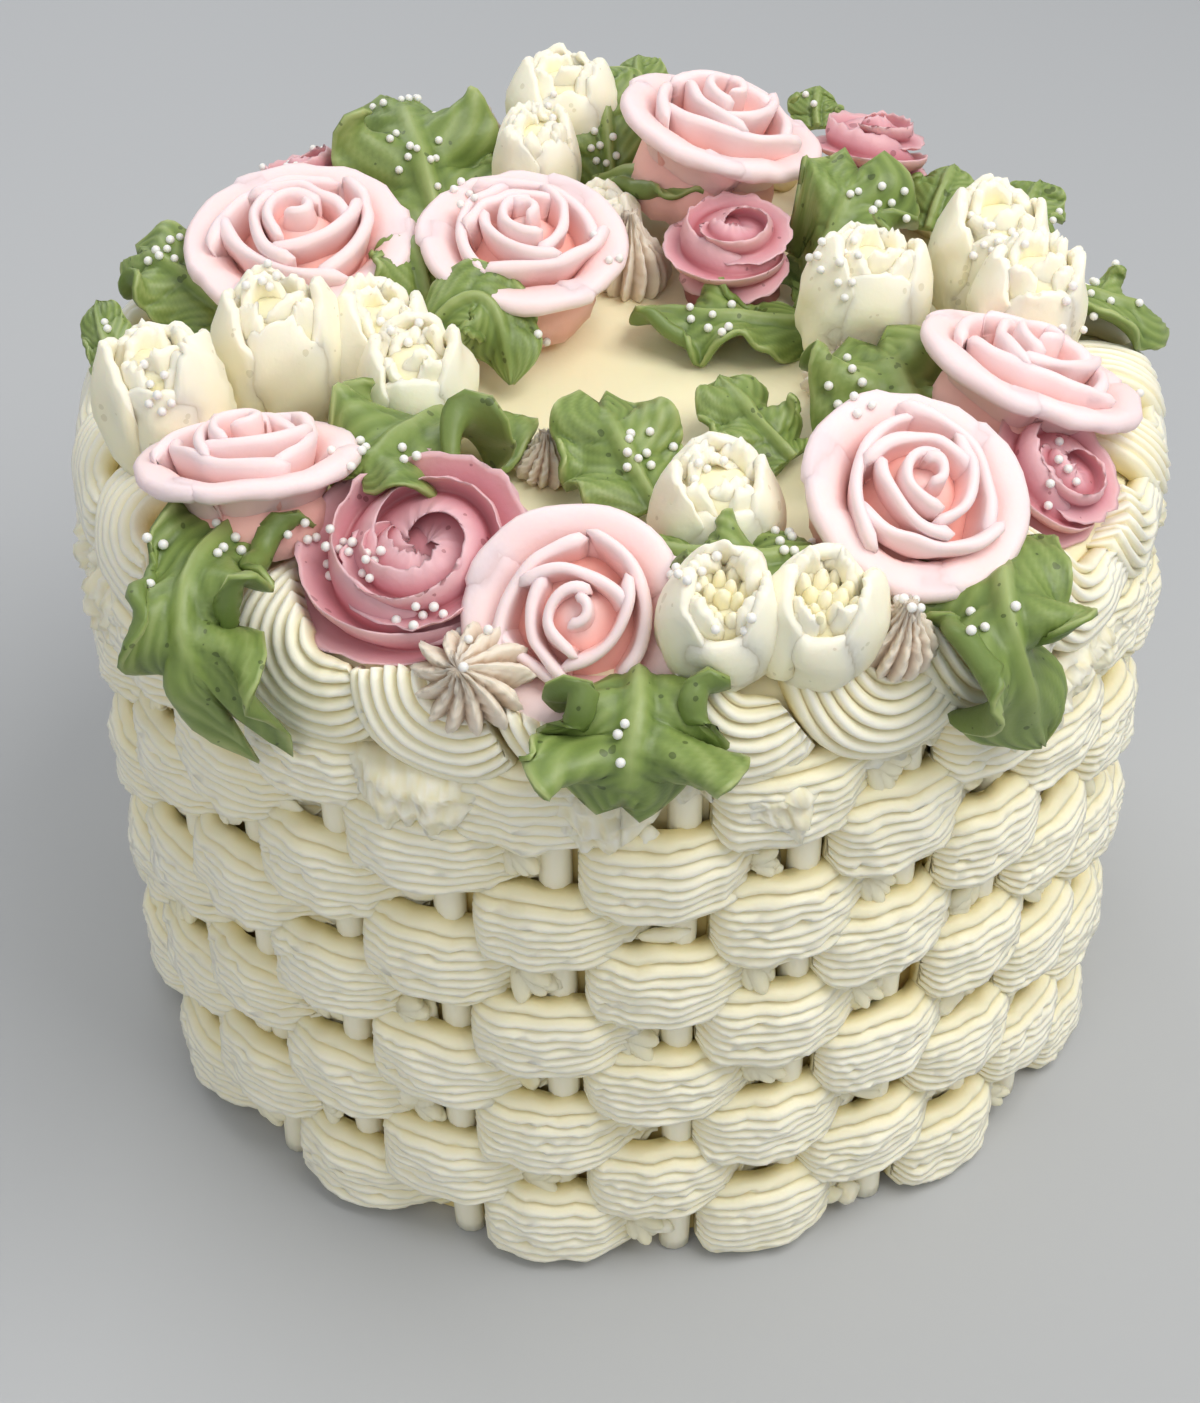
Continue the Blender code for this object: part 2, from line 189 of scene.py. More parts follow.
class Form:
    """A mesh put together from closed lofts in millimetres.

    Every point has a tone: 0 where the colour is deepest, 1 where it is raised and palest. Mostly this is
    painted light and shade: deep colour in grooves, hollows, gaps and hidden sides where shade falls, pale
    colour on raised ridges, rims and edges; a tulip's deep yellow is its own colour.
    """

    def __init__(self):
        self.points = []
        self.tones = []
        self.faces = []
        self.count = 0

    def loft(self, loops, tones):
        """A closed skin over loops of points, each end closed by a fan."""
        rows, around = loops.shape[:2]
        tones = np.broadcast_to(tones, (rows, around))
        numbers = self.count + np.arange(rows * around).reshape(rows, around)
        after = np.roll(numbers, -1, axis=1)
        skin = np.stack([numbers[:-1], after[:-1], after[1:], numbers[1:]], axis=-1).reshape(-1, 4)
        self.faces.extend(skin.tolist())
        first_end = self.count + rows * around
        last_end = first_end + 1
        self.faces.extend([[first_end, b, a] for a, b in zip(numbers[0].tolist(), after[0].tolist())])
        self.faces.extend([[last_end, a, b] for a, b in zip(numbers[-1].tolist(), after[-1].tolist())])
        ends = np.stack([loops[0].mean(axis=0), loops[-1].mean(axis=0)])
        self.points.append(loops.reshape(-1, 3))
        self.points.append(ends)
        self.tones.append(np.concatenate([tones.reshape(-1), [tones[0].mean(), tones[-1].mean()]]))
        self.count += rows * around + 2

    def piece(self, name, material, slot, nodes):
        """The finished object, in metres, on the cake's body."""
        mesh = bpy.data.meshes.new(name)
        mesh.from_pydata((np.concatenate(self.points) * MM).tolist(), [], self.faces)
        attribute = mesh.attributes.new("tone", "FLOAT", "POINT")
        tones = np.clip(np.concatenate(self.tones), 0.0, 1.0)
        attribute.data.foreach_set("value", tones.astype(np.float32))
        work = bmesh.new()
        work.from_mesh(mesh)
        bmesh.ops.recalc_face_normals(work, faces=work.faces)
        smooth_mesh(work, mesh)
        mesh.materials.append(material)
        thing = add_object(name, mesh)
        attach(thing, "root")
        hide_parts(*nodes)
        return thing


# materials

def set_inputs(node, values):
    """Sets some of a node's inputs."""
    for label, value in values.items():
        node.inputs[label].default_value = value


def add_node(tree, kind, values, sources):
    """A new node with some inputs set to values and some joined to other nodes' outputs."""
    node = tree.nodes.new(f"ShaderNode{kind}")
    set_inputs(node, values)
    for label, output in sources.items():
        tree.links.new(output, node.inputs[label])
    return node


def add_ramp(tree, level, deep, pale):
    """A node that runs from a deep colour at 0 to a pale one at 1."""
    ramp = add_node(tree, "ValToRGB", {}, {"Fac": level})
    ramp.color_ramp.elements[0].color = (*deep, 1.0)
    ramp.color_ramp.elements[1].color = (*pale, 1.0)
    return ramp


def new_material(name):
    """A material, its nodes and its shader."""
    material = bpy.data.materials.new(name)
    material.use_nodes = True
    return material, material.node_tree, material.node_tree.nodes["Principled BSDF"]


def add_pits(tree, place, color, bump, pits, middle):
    """Small air holes in an icing: its colour, darkened in the holes as painted shade, and its bump with the
    holes.
    """
    cells = add_node(tree, "TexVoronoi", {"Scale": 420.0}, {"Vector": place})
    patches = add_node(tree, "TexNoise", {"Scale": 210.0}, {"Vector": place})
    limits = {"From Min": 0.52, "From Max": 0.72, "To Min": 0.0, "To Max": 0.42}
    size = add_node(tree, "MapRange", limits, {"Value": patches.outputs["Fac"]})
    hole = add_node(tree, "Math", {}, {0: cells.outputs["Distance"], 1: size.outputs["Result"]})
    hole.operation = "LESS_THAN"
    heights = {"Height": hole.outputs[0], "Normal": bump.outputs["Normal"]}
    bump = add_node(tree, "Bump", {"Strength": pits, "Distance": 0.0006}, heights)
    bump.invert = True
    # painted shade: the colour is darkened inside each air hole
    strength = add_node(tree, "Math", {1: 0.55 * pits}, {0: hole.outputs[0]})
    strength.operation = "MULTIPLY"
    pit_shade = add_node(tree, "Mix", {}, {})
    pit_shade.data_type = "RGBA"
    pit_shade.blend_type = "MULTIPLY"
    set_inputs(pit_shade, {"B": (*(0.45 * part for part in middle), 1.0)})
    tree.links.new(strength.outputs[0], pit_shade.inputs["Factor"])
    tree.links.new(color, pit_shade.inputs["A"])
    return pit_shade.outputs["Result"], bump


def icing(name, deep, middle, pale, roughness, pits=0.0, grain=0.4, subsurface=0.2):
    """An icing coloured from deep to pale by the mesh's tone, which paints shade into grooves and hollows
    and light onto raised parts (a tulip's deep yellow is its own colour), with small spots, grain and air
    holes.
    """
    material, tree, shader = new_material(name)
    set_inputs(shader, {"Roughness": roughness, "Subsurface Weight": subsurface})
    set_inputs(shader, {"Subsurface Scale": 0.003, "Subsurface Radius": (1.0, 0.7, 0.45)})
    tone = add_node(tree, "Attribute", {}, {})
    tone.attribute_name = "tone"
    place = add_node(tree, "TexCoord", {}, {}).outputs["Object"]
    blotches = add_node(tree, "TexNoise", {"Scale": 70.0, "Detail": 3.0}, {"Vector": place})
    shift = add_node(tree, "Math", {1: 0.24, 2: -0.12}, {0: blotches.outputs["Fac"]})
    shift.operation = "MULTIPLY_ADD"
    level = add_node(tree, "Math", {}, {0: tone.outputs["Fac"], 1: shift.outputs[0]})
    level.operation = "ADD"
    level.use_clamp = True
    ramp = add_ramp(tree, level.outputs[0], deep, pale)
    half_way = ramp.color_ramp.elements.new(0.5)
    half_way.color = (*middle, 1.0)
    color = ramp.outputs["Color"]
    fine = add_node(tree, "TexNoise", {"Scale": 900.0, "Detail": 3.0}, {"Vector": place})
    depth = {"Strength": grain, "Distance": 0.0002}
    bump = add_node(tree, "Bump", depth, {"Height": fine.outputs["Fac"]})
    if pits > 0.0:
        color, bump = add_pits(tree, place, color, bump, pits, middle)
    tree.links.new(color, shader.inputs["Base Color"])
    tree.links.new(bump.outputs["Normal"], shader.inputs["Normal"])
    return material


# the deep buttercream colours are painted shade for grooves, gaps and hidden sides; the pale ones are
# painted light on the ridges
BUTTERCREAM = icing("buttercream", (0.78, 0.62, 0.21), (0.88, 0.81, 0.55), (0.93, 0.90, 0.775), 0.42)
BUTTERCREAM_TOP = icing("buttercream_top", (0.90, 0.68, 0.22), (0.91, 0.83, 0.55), (0.93, 0.87, 0.61), 0.5)


# the cake's body

def cake_body():
    """The smooth coat under the weave, the flat top and the flat underside."""
    profile = [(0.0, 0.2), (94.0, 0.2), (CORE_RADIUS, 1.2)]
    profile += [(CORE_RADIUS, height) for height in range(10, 110, 10)]
    profile += [(95.6, 112.0), (97.4, 120.0), (97.2, 128.0), (95.2, 133.4), (89.5, 136.2), (80.0, 135.0)]
    profile += [(radius, TOP_HEIGHT) for radius in (66.0, 52.0, 38.0, 24.0, 12.0, 0.6)]
    loops = []
    angles = np.linspace(0.0, 360.0, 180, endpoint=False)
    for radius, height in profile[1:]:
        ring = polar(angles, radius, height)
        if height > 1.5:
            ring[:, 2] += 0.25 * ripple(ring[:, :2], 45.0, 3)
        loops.append(ring)
    form = Form()
    heights = np.array([pair[1] for pair in profile[1:]])[:, None]
    # painted shade: the coat is painted deep on the side, where it shows in the weave's shaded gaps, and
    # paler under the rim and on the top
    form.loft(np.array(loops), np.where(heights > 130.0, 0.7, np.where(heights > 111.0, 0.45, 0.08)))
    form.piece("smooth_coat", BUTTERCREAM_TOP, "buttercream", ["cake"])


def weave_strips():
    """The smooth upright strips that the strokes pass over."""
    form = Form()
    heights = np.linspace(0.6, 117.0, 44)[:, None]
    around = np.linspace(0.0, 2.0 * math.pi, 12, endpoint=False)[None, :]
    for column in range(COLUMNS):
        chance = np.random.default_rng(500 + column)
        angle = FIRST_STRIP + COLUMN_STEP * column + chance.uniform(-0.4, 0.4)
        sideways = 2.9 * np.cos(around) + 0.35 * np.sin(heights / 14.0 + column)
        out = 96.4 + 2.6 * np.sin(around) + 0.3 * np.sin(heights / 9.0 + 2.0 * column)
        loops = polar(angle + np.degrees(sideways / 95.0), out, heights)
        # painted shade on each strip's inner side, painted light on its outer face
        form.loft(loops, 0.55 + 0.25 * np.sin(around))
    form.piece("weave_strips", BUTTERCREAM, "buttercream", ["cake"])


def ridge_places(count, share):
    """Places across a band from -1 to 1 that follow its ridges, and each place's height on its ridge.

    A ridge rises steeply from a narrow groove and falls away slowly. share is the part of the band
    that has ridges.
    """
    parts = np.array([0.02, 0.13, 0.30, 0.58, 0.86])
    heights = np.array([0.0, 0.62, 1.0, 0.86, 0.52])
    numbers = np.arange(count)[:, None]
    places = ((numbers + parts) / count * share * 2.0 - 1.0).reshape(-1)
    levels = np.broadcast_to(heights, (count, len(parts))).reshape(-1)
    if share < 1.0:
        smooth = np.linspace(2.0 * share - 1.0 + 0.01, 1.0, 5)
        places = np.concatenate([places, smooth])
        levels = np.concatenate([levels, [0.0, 0.75, 0.95, 0.9, 0.6]])
    return places[None, :], levels[None, :]


def stroke_places():
    """Each stroke's column, row and height."""
    for column in range(COLUMNS):
        heights = ODD_COLUMN_HEIGHTS if column % 2 else EVEN_COLUMN_HEIGHTS
        for row, height in enumerate(heights):
            yield column, row, height


def blunt_start(along, depth):
    """How full a piped stroke is along its length: it starts blunt and rounded."""
    return np.sqrt(1.0 - depth * (1.0 - grow(along, 0.0, 0.09)) ** 2)


def weave_stroke(form, angle, height, chance):
    """One ridged stroke over a strip: blunt and rounded at the left, thin and torn at the right."""
    start = -0.82 + chance.uniform(-0.04, 0.06)
    end = 0.88 + chance.uniform(-0.08, 0.05)
    along = np.linspace(0.0, 1.0, STROKE_STEPS)[:, None]
    along = along - 0.04 * np.sin(2.0 * math.pi * along)
    column = start + (end - start) * along
    rounding = blunt_start(along, 0.85)
    half = knots(column, STROKE_HALF) * (0.60 + 0.40 * rounding) * chance.uniform(0.92, 1.04)
    front = knots(column, STROKE_FRONT) + chance.uniform(-0.8, 0.2)
    back = np.maximum(93.8, front - 5.4 - 1.2 * along)
    front = back + (front - back) * (0.35 + 0.65 * rounding)

    seed = any_seed(chance)
    across, ridge = ridge_places(STROKE_RIDGES, 0.86)
    flat = stacked(column * 22.0, across * 9.0)
    torn = grow(along, 0.66, 1.0)
    lower = 1.0 - np.abs(across) ** 7.0
    upper = 1.0 - np.abs(across) ** 3.0
    dome = np.sqrt(np.clip(np.where(across < 0.0, lower, upper), 0.0, 1.0))
    nicks = np.clip(ripple(flat, 3.6, seed + 5) - 0.8, 0.0, 0.6)
    depth = STROKE_GROOVE * (1.0 - 0.25 * torn) * (0.3 + 0.7 * rounding)
    out = back + (front - back) * dome - depth * (1.0 - ridge) * (0.4 + 0.6 * dome)
    out = out + 0.35 * ripple(flat, 11.0, seed + 1) + 0.70 * torn * ripple(flat, 3.2, seed + 2) * dome
    out = out - 1.5 * nicks * dome + 0.18 * ripple(flat, 2.4, seed + 6) * ridge * dome
    tilt = chance.uniform(-1.1, 1.1)
    sag = chance.uniform(-0.4, 1.4)
    middle = height + tilt * column - sag * (1.0 - column ** 2)
    level = middle + across * half + 1.2 * torn * ripple(flat, 5.0, seed + 3)
    level = level + 0.32 * ripple(flat, 9.0, seed + 4)

    inner_level = middle + np.linspace(0.94, -0.94, INNER_POINTS)[None, :] * half
    degrees = angle + column * COLUMN_STEP
    face = polar(degrees, out, np.maximum(level, LOWEST_STROKE))
    inner_face = polar(degrees, back, np.maximum(inner_level, LOWEST_STROKE))
    loops = np.concatenate([face, inner_face], axis=1)
    # painted shade in the grooves and on the hidden inner side; painted light on the ridges, more so the
    # further the stroke stands out
    tone = 0.12 + 0.62 * ridge * dome + 0.03 * (out - 97.0)
    form.loft(loops, np.concatenate([tone, np.full(inner_level.shape, 0.1)], axis=1))


def tongue(form, root, forward, up, length, width, curl, tone, blunt):
    """A tapering tongue of icing that curls up as it runs out. A high blunt rounds its end."""
    forward = Vector(forward).normalized()
    sideways = forward.cross(Vector(up)).normalized()
    normal = np.array(sideways.cross(forward))
    steps = np.array([0.0, 0.3, 0.6, 0.8, 0.94, 1.0])[:, None, None]
    around = np.linspace(0.0, 2.0 * math.pi, 8, endpoint=False)[None, :, None]
    half = 0.5 * width * ((1.0 - steps ** blunt) ** 0.6 + 0.04)
    spine = np.array(root) + steps * length * np.array(forward) + curl * steps ** 2 * normal
    form.loft(spine + half * (np.cos(around) * np.array(sideways) + np.sin(around) * normal), tone)


def lump(form, spot, outward, size, chance):
    """A small knob of icing, uneven and drawn out to one or two torn points."""
    levels = np.linspace(0.0, 1.0, 6)[:, None]
    angles = np.linspace(0.0, 2.0 * math.pi, 9, endpoint=False)[None, :]
    side = outward.cross(Vector((0.0, 0.0, 1.0)))
    axes = np.array([side, side.cross(outward), outward])
    swell = np.sin(math.pi * (0.10 + 0.88 * levels)) ** 0.7
    across = size[0] * swell * np.cos(angles)
    upward = size[1] * swell * np.sin(angles)
    local = stacked(across, upward, size[2] * (levels - 0.35))
    rough = ripple(local, 5.5, any_seed(chance)) + 0.5 * ripple(local, 2.2, any_seed(chance))
    local = local * (1.0 + 0.17 * rough[..., None])
    peak = chance.uniform(0.0, 2.0 * math.pi)
    pull = 0.55 * max(size) * np.clip(np.cos(angles - peak), 0.0, 1.0) ** 9 * swell
    local = local + pull[..., None] * np.array([math.cos(peak), math.sin(peak), 0.15])
    # paler where the knob bulges out: painted light on its bumps
    form.loft(local @ axes + spot, 0.62 + 0.15 * rough)


def collar(form):
    """The smear of icing pushed out under the rim: an uneven band with a torn lower edge."""
    angles = np.linspace(0.0, 360.0, COLLAR_SIDES, endpoint=False)[:, None]
    around = polar(angles, RIM_RADIUS, 0.0)[:, 0, :2]
    slow = ripple(around, 26.0, 41)[:, None]
    medium = ripple(around, 11.0, 42)[:, None]
    quick = ripple(around, 4.5, 43)[:, None]
    tears = np.clip(medium + 0.2 * quick - 0.30, 0.0, 1.2)
    lower = 113.5 - 2.4 * slow - 3.0 * tears - 0.9 * quick
    reach = 101.4 + 2.2 * slow + 0.9 * medium + np.clip(tears, 0.0, 1.0)
    down = np.array([down for down, _ in COLLAR_SECTION])[None, :]
    out = np.array([out for _, out in COLLAR_SECTION])[None, :]
    radius = COLLAR_RADIUS + (reach - COLLAR_RADIUS) * out
    height = COLLAR_TOP + (lower - COLLAR_TOP) * down
    spots = polar(angles, radius, height)
    wrinkle = ripple(spots, 3.4, 44)
    radius = radius + 0.8 * (0.55 * wrinkle + 0.9 * np.sin(down * 17.0 + 3.0 * medium + slow)) * out
    height = height + 0.5 * ripple(spots, 4.0, 45) * out
    loops = polar(angles, radius, height)
    # paler where the wrinkles push out: painted light on them
    tone = 0.72 + 0.22 * wrinkle
    form.loft(np.concatenate([loops, loops[:1]]), np.concatenate([tone, tone[:1]]))


def frills():
    """Torn fans where strokes end, knobs of icing beside them and the smear under the rim."""
    form = Form()
    up = Vector((0.0, 0.0, 1.0))
    for column, row, height in stroke_places():
        chance = np.random.default_rng(7000 + column * 10 + row)
        angle = FIRST_STRIP + COLUMN_STEP * (column + chance.uniform(0.52, 0.68))
        outward = direction(angle)
        right = direction(angle + 90.0)
        level = max(5.0, height + chance.uniform(-3.5, 2.5))
        if chance.random() < 0.72:
            size = chance.uniform(0.9, 1.35)
            wide = 3.4 * size
            spot = polar(angle, 97.6, level)
            lean = chance.uniform(-1.0, 0.2)
            for number in range(5):
                spread = (number - 2.0) * 0.36 + lean
                forward = right * math.cos(spread) + up * math.sin(spread)
                forward = forward + outward * chance.uniform(0.1, 0.5)
                length = size * chance.uniform(3.6, 6.4)
                curl = chance.uniform(-0.4, 1.2)
                tongue(form, spot, forward, outward, length, wide, curl, 0.6, 3.2)
        for _ in range(int(chance.integers(1, 4))):
            offset = chance.uniform(-2.5, 4.0)
            out = chance.uniform(96.0, 98.6)
            spot = polar(angle + offset / 1.7, out, max(3.6, level + chance.uniform(-4.5, 4.0)))
            size = chance.uniform(1.6, 3.1, 3) * np.array([1.35, 1.0, 1.1])
            lump(form, spot, outward, size, chance)
    collar(form)
    form.piece("frills", BUTTERCREAM, "buttercream", ["cake"])


def weave():
    """All the strokes, in one piece for each level of the columns."""
    bands = [Form() for _ in ODD_COLUMN_HEIGHTS]
    for column, row, height in stroke_places():
        chance = np.random.default_rng(1000 + column * 10 + row)
        aside = chance.uniform(-0.6, 0.6)
        above = chance.uniform(-0.9, 0.9)
        angle = FIRST_STRIP + COLUMN_STEP * column + aside
        weave_stroke(bands[row], angle, height + above, chance)
    for number, form in enumerate(bands):
        form.piece(f"weave_{number + 1}", BUTTERCREAM, "buttercream", ["cake"])


def rim_point(along, across, lift):
    """A point of the rim: along in millimetres round it, across from the flat top outwards."""
    path = np.array(RIM_PATH)
    steps = np.linalg.norm(np.diff(path, axis=0), axis=1)
    places = np.concatenate([[0.0], np.cumsum(steps)])
    tables = [list(zip(places, path[:, axis])) for axis in range(2)]
    radius, height = (knots(across, table) for table in tables)
    slope_out, slope_up = (knots(across + 0.5, table) - knots(across - 0.5, table) for table in tables)
    size = np.hypot(slope_out, slope_up) + 1e-6
    radius = radius - lift * slope_up / size
    height = height + lift * slope_out / size
    return polar(np.degrees(along / RIM_RADIUS), radius, height)


def swoop(form, angle, chance):
    """One ridged swoop of the rim: down over the edge from the top, then round to the right."""
    travel = np.linspace(0.0, 1.0, SWOOP_STEPS)
    left = math.radians(angle) * RIM_RADIUS + chance.uniform(-0.6, 0.6)
    outer = SWOOP_OUTER_RADIUS + chance.uniform(-0.6, 0.8)
    middle_radius = outer - SWOOP_HALF_WIDTH
    start_across = 1.5 + chance.uniform(-0.8, 0.8)
    arc = math.radians(128.0 + chance.uniform(-5.0, 5.0)) * middle_radius
    distance = travel * (SWOOP_STRAIGHT + arc)
    turning = np.maximum((distance - SWOOP_STRAIGHT) / middle_radius, 0.0)
    side_along = -np.cos(turning)
    side_across = np.sin(turning)
    path_along = left + outer + middle_radius * side_along
    path_across = start_across + np.minimum(distance, SWOOP_STRAIGHT) + middle_radius * side_across

    seed = any_seed(chance)
    around, ridge = ridge_places(SWOOP_RIDGES, 1.0)
    along = travel[:, None]
    rounding = blunt_start(along, 0.8)
    finish = grow(along, 0.8, 1.0)
    width = SWOOP_HALF_WIDTH * (0.55 + 0.45 * rounding) * (1.0 - 0.25 * finish ** 2)
    flat = stacked(distance[:, None], around * SWOOP_HALF_WIDTH)
    dome = np.sqrt(np.clip(1.0 - np.abs(around) ** 6.0, 0.0, 1.0))
    thick = (5.4 - 2.6 * along) * (0.4 + 0.6 * rounding)
    lift = thick * dome - SWOOP_GROOVE * (1.0 - ridge) * (0.3 + 0.7 * dome) * rounding
    lift = lift + 0.2 * ripple(flat, 10.0, seed + 1)
    lift = lift + (0.05 + 0.35 * finish) * ripple(flat, 3.0, seed + 2) * dome
    under = np.full((SWOOP_STEPS, INNER_POINTS), -1.0)
    inner_around = np.linspace(0.93, -0.93, INNER_POINTS)[None, :]
    left_side = -np.concatenate([around, inner_around], axis=1) * width
    place_along = path_along[:, None] + side_along[:, None] * left_side
    place_across = path_across[:, None] + side_across[:, None] * left_side
    loops = rim_point(place_along, place_across, np.concatenate([lift, under], axis=1))
    for row in ROSES:
        loops = pressed(loops, row, ROSE_UNDERSIDE, PETALS_REACH)
    for row in ROSETTES + STARS:
        loops = pressed(loops, row, 0.72, 0.88)
    # painted shade in the grooves and on the underside, painted light on the ridges
    tone = np.broadcast_to(0.24 + 0.76 * ridge * dome, lift.shape)
    form.loft(loops, np.concatenate([tone, np.full(under.shape, 0.2)], axis=1))


def rim():
    """The ring of swoops."""
    form = Form()
    for number in range(SWOOPS):
        chance = np.random.default_rng(3000 + number)
        swoop(form, 1.0 + number * 360.0 / SWOOPS, chance)
    form.piece("rim", BUTTERCREAM, "buttercream", ["cake"])


# roses, tulips, rosettes, stars and leaves: where each one stands, as in the solid model

# name, middle of the rim, rim radius, height, lean, direction it leans in, turn about its own axis
ROSES = [
    ("rose_1", (-61, 20, 156), 20.5, 19, 10, 0, 15),
    ("rose_2", (-18, 17, 157), 18.5, 18, 12, 20, 70),
    ("rose_3", (21, 56, 162), 19.5, 22, 16, 100, 40),
    ("rose_4", (-62, -54, 156), 17.5, 17, 15, 190, 10),
    ("rose_5", (-7, -87, 145), 17.5, 16, 46, -5, 30),
    ("rose_6", (49, -65, 155), 18.0, 18, 29, 28, 50),
    ("rose_7", (73, -24, 154), 19.5, 17, 22, 118, 20),
]

# name, middle of the mouth, long and short radius, height, lean, direction it leans in, turn
TULIPS = [
    ("tulip_1", (-80, -34, 164), 10.3, 8.8, 27, 4, -90, 0),
    ("tulip_2", (-61, -18, 165), 11.0, 9.0, 28, 2, -90, 10),
    ("tulip_3", (-36, -26, 159), 9.2, 8.8, 22, 3, 0, 0),
    ("tulip_4", (-43, -12, 160), 9.3, 8.5, 24, 8, 180, 20),
    ("tulip_5", (-12, 80, 162), 10.8, 9.0, 24, 5, 180, 0),
    ("tulip_6", (-17, 59, 159), 8.0, 7.8, 22, 3, 0, 30),
    ("tulip_7", (-4, 43, 150), 7.0, 6.5, 14, 0, 0, 0),
    ("tulip_8", (47, 4, 162), 11.0, 9.0, 26, 8, 100, 0),
    ("tulip_9", (71, 17, 164), 10.2, 9.0, 27, 6, 120, 0),
    ("tulip_10", (76, -1, 163), 9.4, 8.5, 26, 6, 80, 0),
    ("tulip_11", (16, -62, 157), 9.8, 9.0, 21, 5, 0, 0),
    ("tulip_12", (16, -92, 157), 9.0, 8.6, 22, 12, 8, 0),
    ("tulip_13", (32, -91, 156), 8.8, 8.6, 21, 12, 20, 0),
]

# name, middle of the crown, radius, height, lean, direction it leans in, turn
ROSETTES = [
    ("rosette_1", (-33, -72, 149), 24.5, 17, 24, -24, 0),
    ("rosette_2", (22, 28, 155), 15.5, 20, 8, 0, 40),
    ("rosette_3", (53, 66, 158), 15.0, 21, 15, 140, 80),
    ("rosette_4", (78, -46, 147), 15.0, 14, 35, 60, 20),
    ("rosette_5", (-66, 68, 147), 13.0, 13, 20, -136, 60),
]

# name, peak, radius, height, lean, direction it leans in, turn
STARS = [
    ("star_1", (-25, -98, 143), 10.0, 10, 40, -14, 0),
    ("star_2", (2, 34, 149), 8.0, 15, 0, 0, 20),
    ("star_3", (45, -89, 148), 6.5, 13, 16, 25, 12),
    ("star_4", (-13, -33, 143), 6.0, 8, 0, 0, 35),
    ("star_5", (41, -7, 144), 7.5, 9, 0, 0, 50),
    ("star_6", (-29, 83, 148), 7.0, 10, 10, -162, 15),
]

# name, root, middle, tip, half width, roll about its length, ruffle depth, ruffle waves, notch at the tip
LEAVES = [
    ("leaf_1", (-37, 52, 139), (-42, 68, 149), (-47, 87, 150), 16, 0, 3.0, 2.0, 0.15),
    ("leaf_2", (-74, 12, 141), (-84, 17, 148), (-94, 26, 147), 10, -20, 2.0, 1.5, 0.15),
    ("leaf_3", (-87, -14, 140), (-95, -2, 143), (-99, 12, 144), 5, -30, 1.5, 1.5, 0.0),
    ("leaf_4", (-2, 66, 141), (-3, 74, 153), (-4, 84, 158), 9, 0, 2.0, 1.5, 0.1),
    ("leaf_5", (-5, 61, 143), (8, 51, 151), (20, 48, 147), 8, 0, 2.5, 1.5, 0.0),
    ("leaf_6", (-36, 8, 143), (-38, 14, 151), (-39, 22, 153), 9, 20, 2.5, 1.5, 0.0),
    ("leaf_7", (-35, -4, 147), (-25, -1, 152), (-20, -9, 139), 8, 20, 2.0, 1.5, 0.0),
    ("leaf_8", (35, 20, 138), (41, 26, 151), (46, 38, 160), 16, 0, 2.5, 2.0, 0.2),
    ("leaf_9", (36, 13, 138), (18, 10, 142), (3, 17, 139), 9, 0, 3.0, 2.0, 0.0),
    ("leaf_10", (78, 22, 142), (90, 10, 146), (103, 14, 139), 9, 0, 2.5, 1.5, 0.1),
    ("leaf_11", (56, -38, 142), (51, -27, 147), (46, -10, 149), 17, 0, 2.5, 2.0, 0.15),
    ("leaf_12", (6, -50, 140), (1, -41, 145), (-4, -28, 148), 11, 0, 2.0, 1.5, 0.15),
    ("leaf_13", (30, -34, 139), (24, -27, 143), (18, -15, 144), 8, 0, 2.5, 2.0, 0.0),
    ("leaf_14", (32, -72, 146), (17, -78, 150), (3, -70, 147), 9, 0, 3.0, 2.0, 0.0),
    ("leaf_15", (-26, -20, 141), (-36, -46, 153), (-43, -59, 152), 15, 0, 3.5, 2.0, 0.1),
    ("leaf_16", (-55, -46, 141), (-69, -84, 148), (-62, -92, 126), 13, 0, 3.5, 3.0, 0.2),
    ("leaf_17", (3, -95, 140), (2, -108, 137), (0, -111, 125), 16, 0, 3.0, 2.0, 0.15),
    ("leaf_18", (63, -62, 143), (62, -87, 142), (70, -84, 116), 14, 0, 3.0, 2.0, 0.0),
    ("leaf_19", (42, 87, 143), (42, 91, 146), (43, 95, 148), 5.5, 0, 1.5, 1.0, 0.0),
    ("leaf_20", (5, 85, 143), (4, 94, 150), (4, 103, 152), 6, 0, 1.5, 1.0, 0.0),
    ("leaf_21", (62, 46, 141), (65, 52, 146), (68, 59, 148), 7, 0, 1.5, 1.5, 0.0),
    ("leaf_22", (77, 38, 141), (81, 44, 147), (84, 50, 149), 7, 0, 1.5, 1.5, 0.0),
]

# pieces that are tucked under the edge of a flower, how far below its top the flower's underside lies by
# its height, and how far out its petals reach by its radius
TUCKED_UNDER = {"rosette_1": "rose_5", "leaf_15": "rose_4", "leaf_18": "rose_6", "leaf_8": "rosette_2"}
ROSE_UNDERSIDE = 0.34
ROSETTE_UNDERSIDE = 0.80
PETALS_REACH = 1.03

# the rose, rosette, star and leaf icings run from painted shade in hollows and grooves to painted light on
# raised parts; the tulip's deep yellow is its own colour inside
ROSE_ICING = icing(
    "rose_icing", (0.92, 0.45, 0.38), (0.93, 0.62, 0.585), (0.93, 0.74, 0.745), 0.55, grain=0.3,
)
TULIP_ICING = icing(
    "tulip_icing", (0.96, 0.83, 0.42), (0.96, 0.885, 0.61), (0.965, 0.90, 0.74), 0.5,
    pits=0.5, subsurface=0.35,
)
ROSETTE_ICING = icing(
    "rosette_icing", (0.42, 0.10, 0.12), (0.66, 0.30, 0.34), (0.80, 0.47, 0.50), 0.45, pits=0.9,
)
STAR_ICING = icing("star_icing", (0.38, 0.25, 0.16), (0.66, 0.54, 0.42), (0.82, 0.73, 0.61), 0.5, pits=0.3)
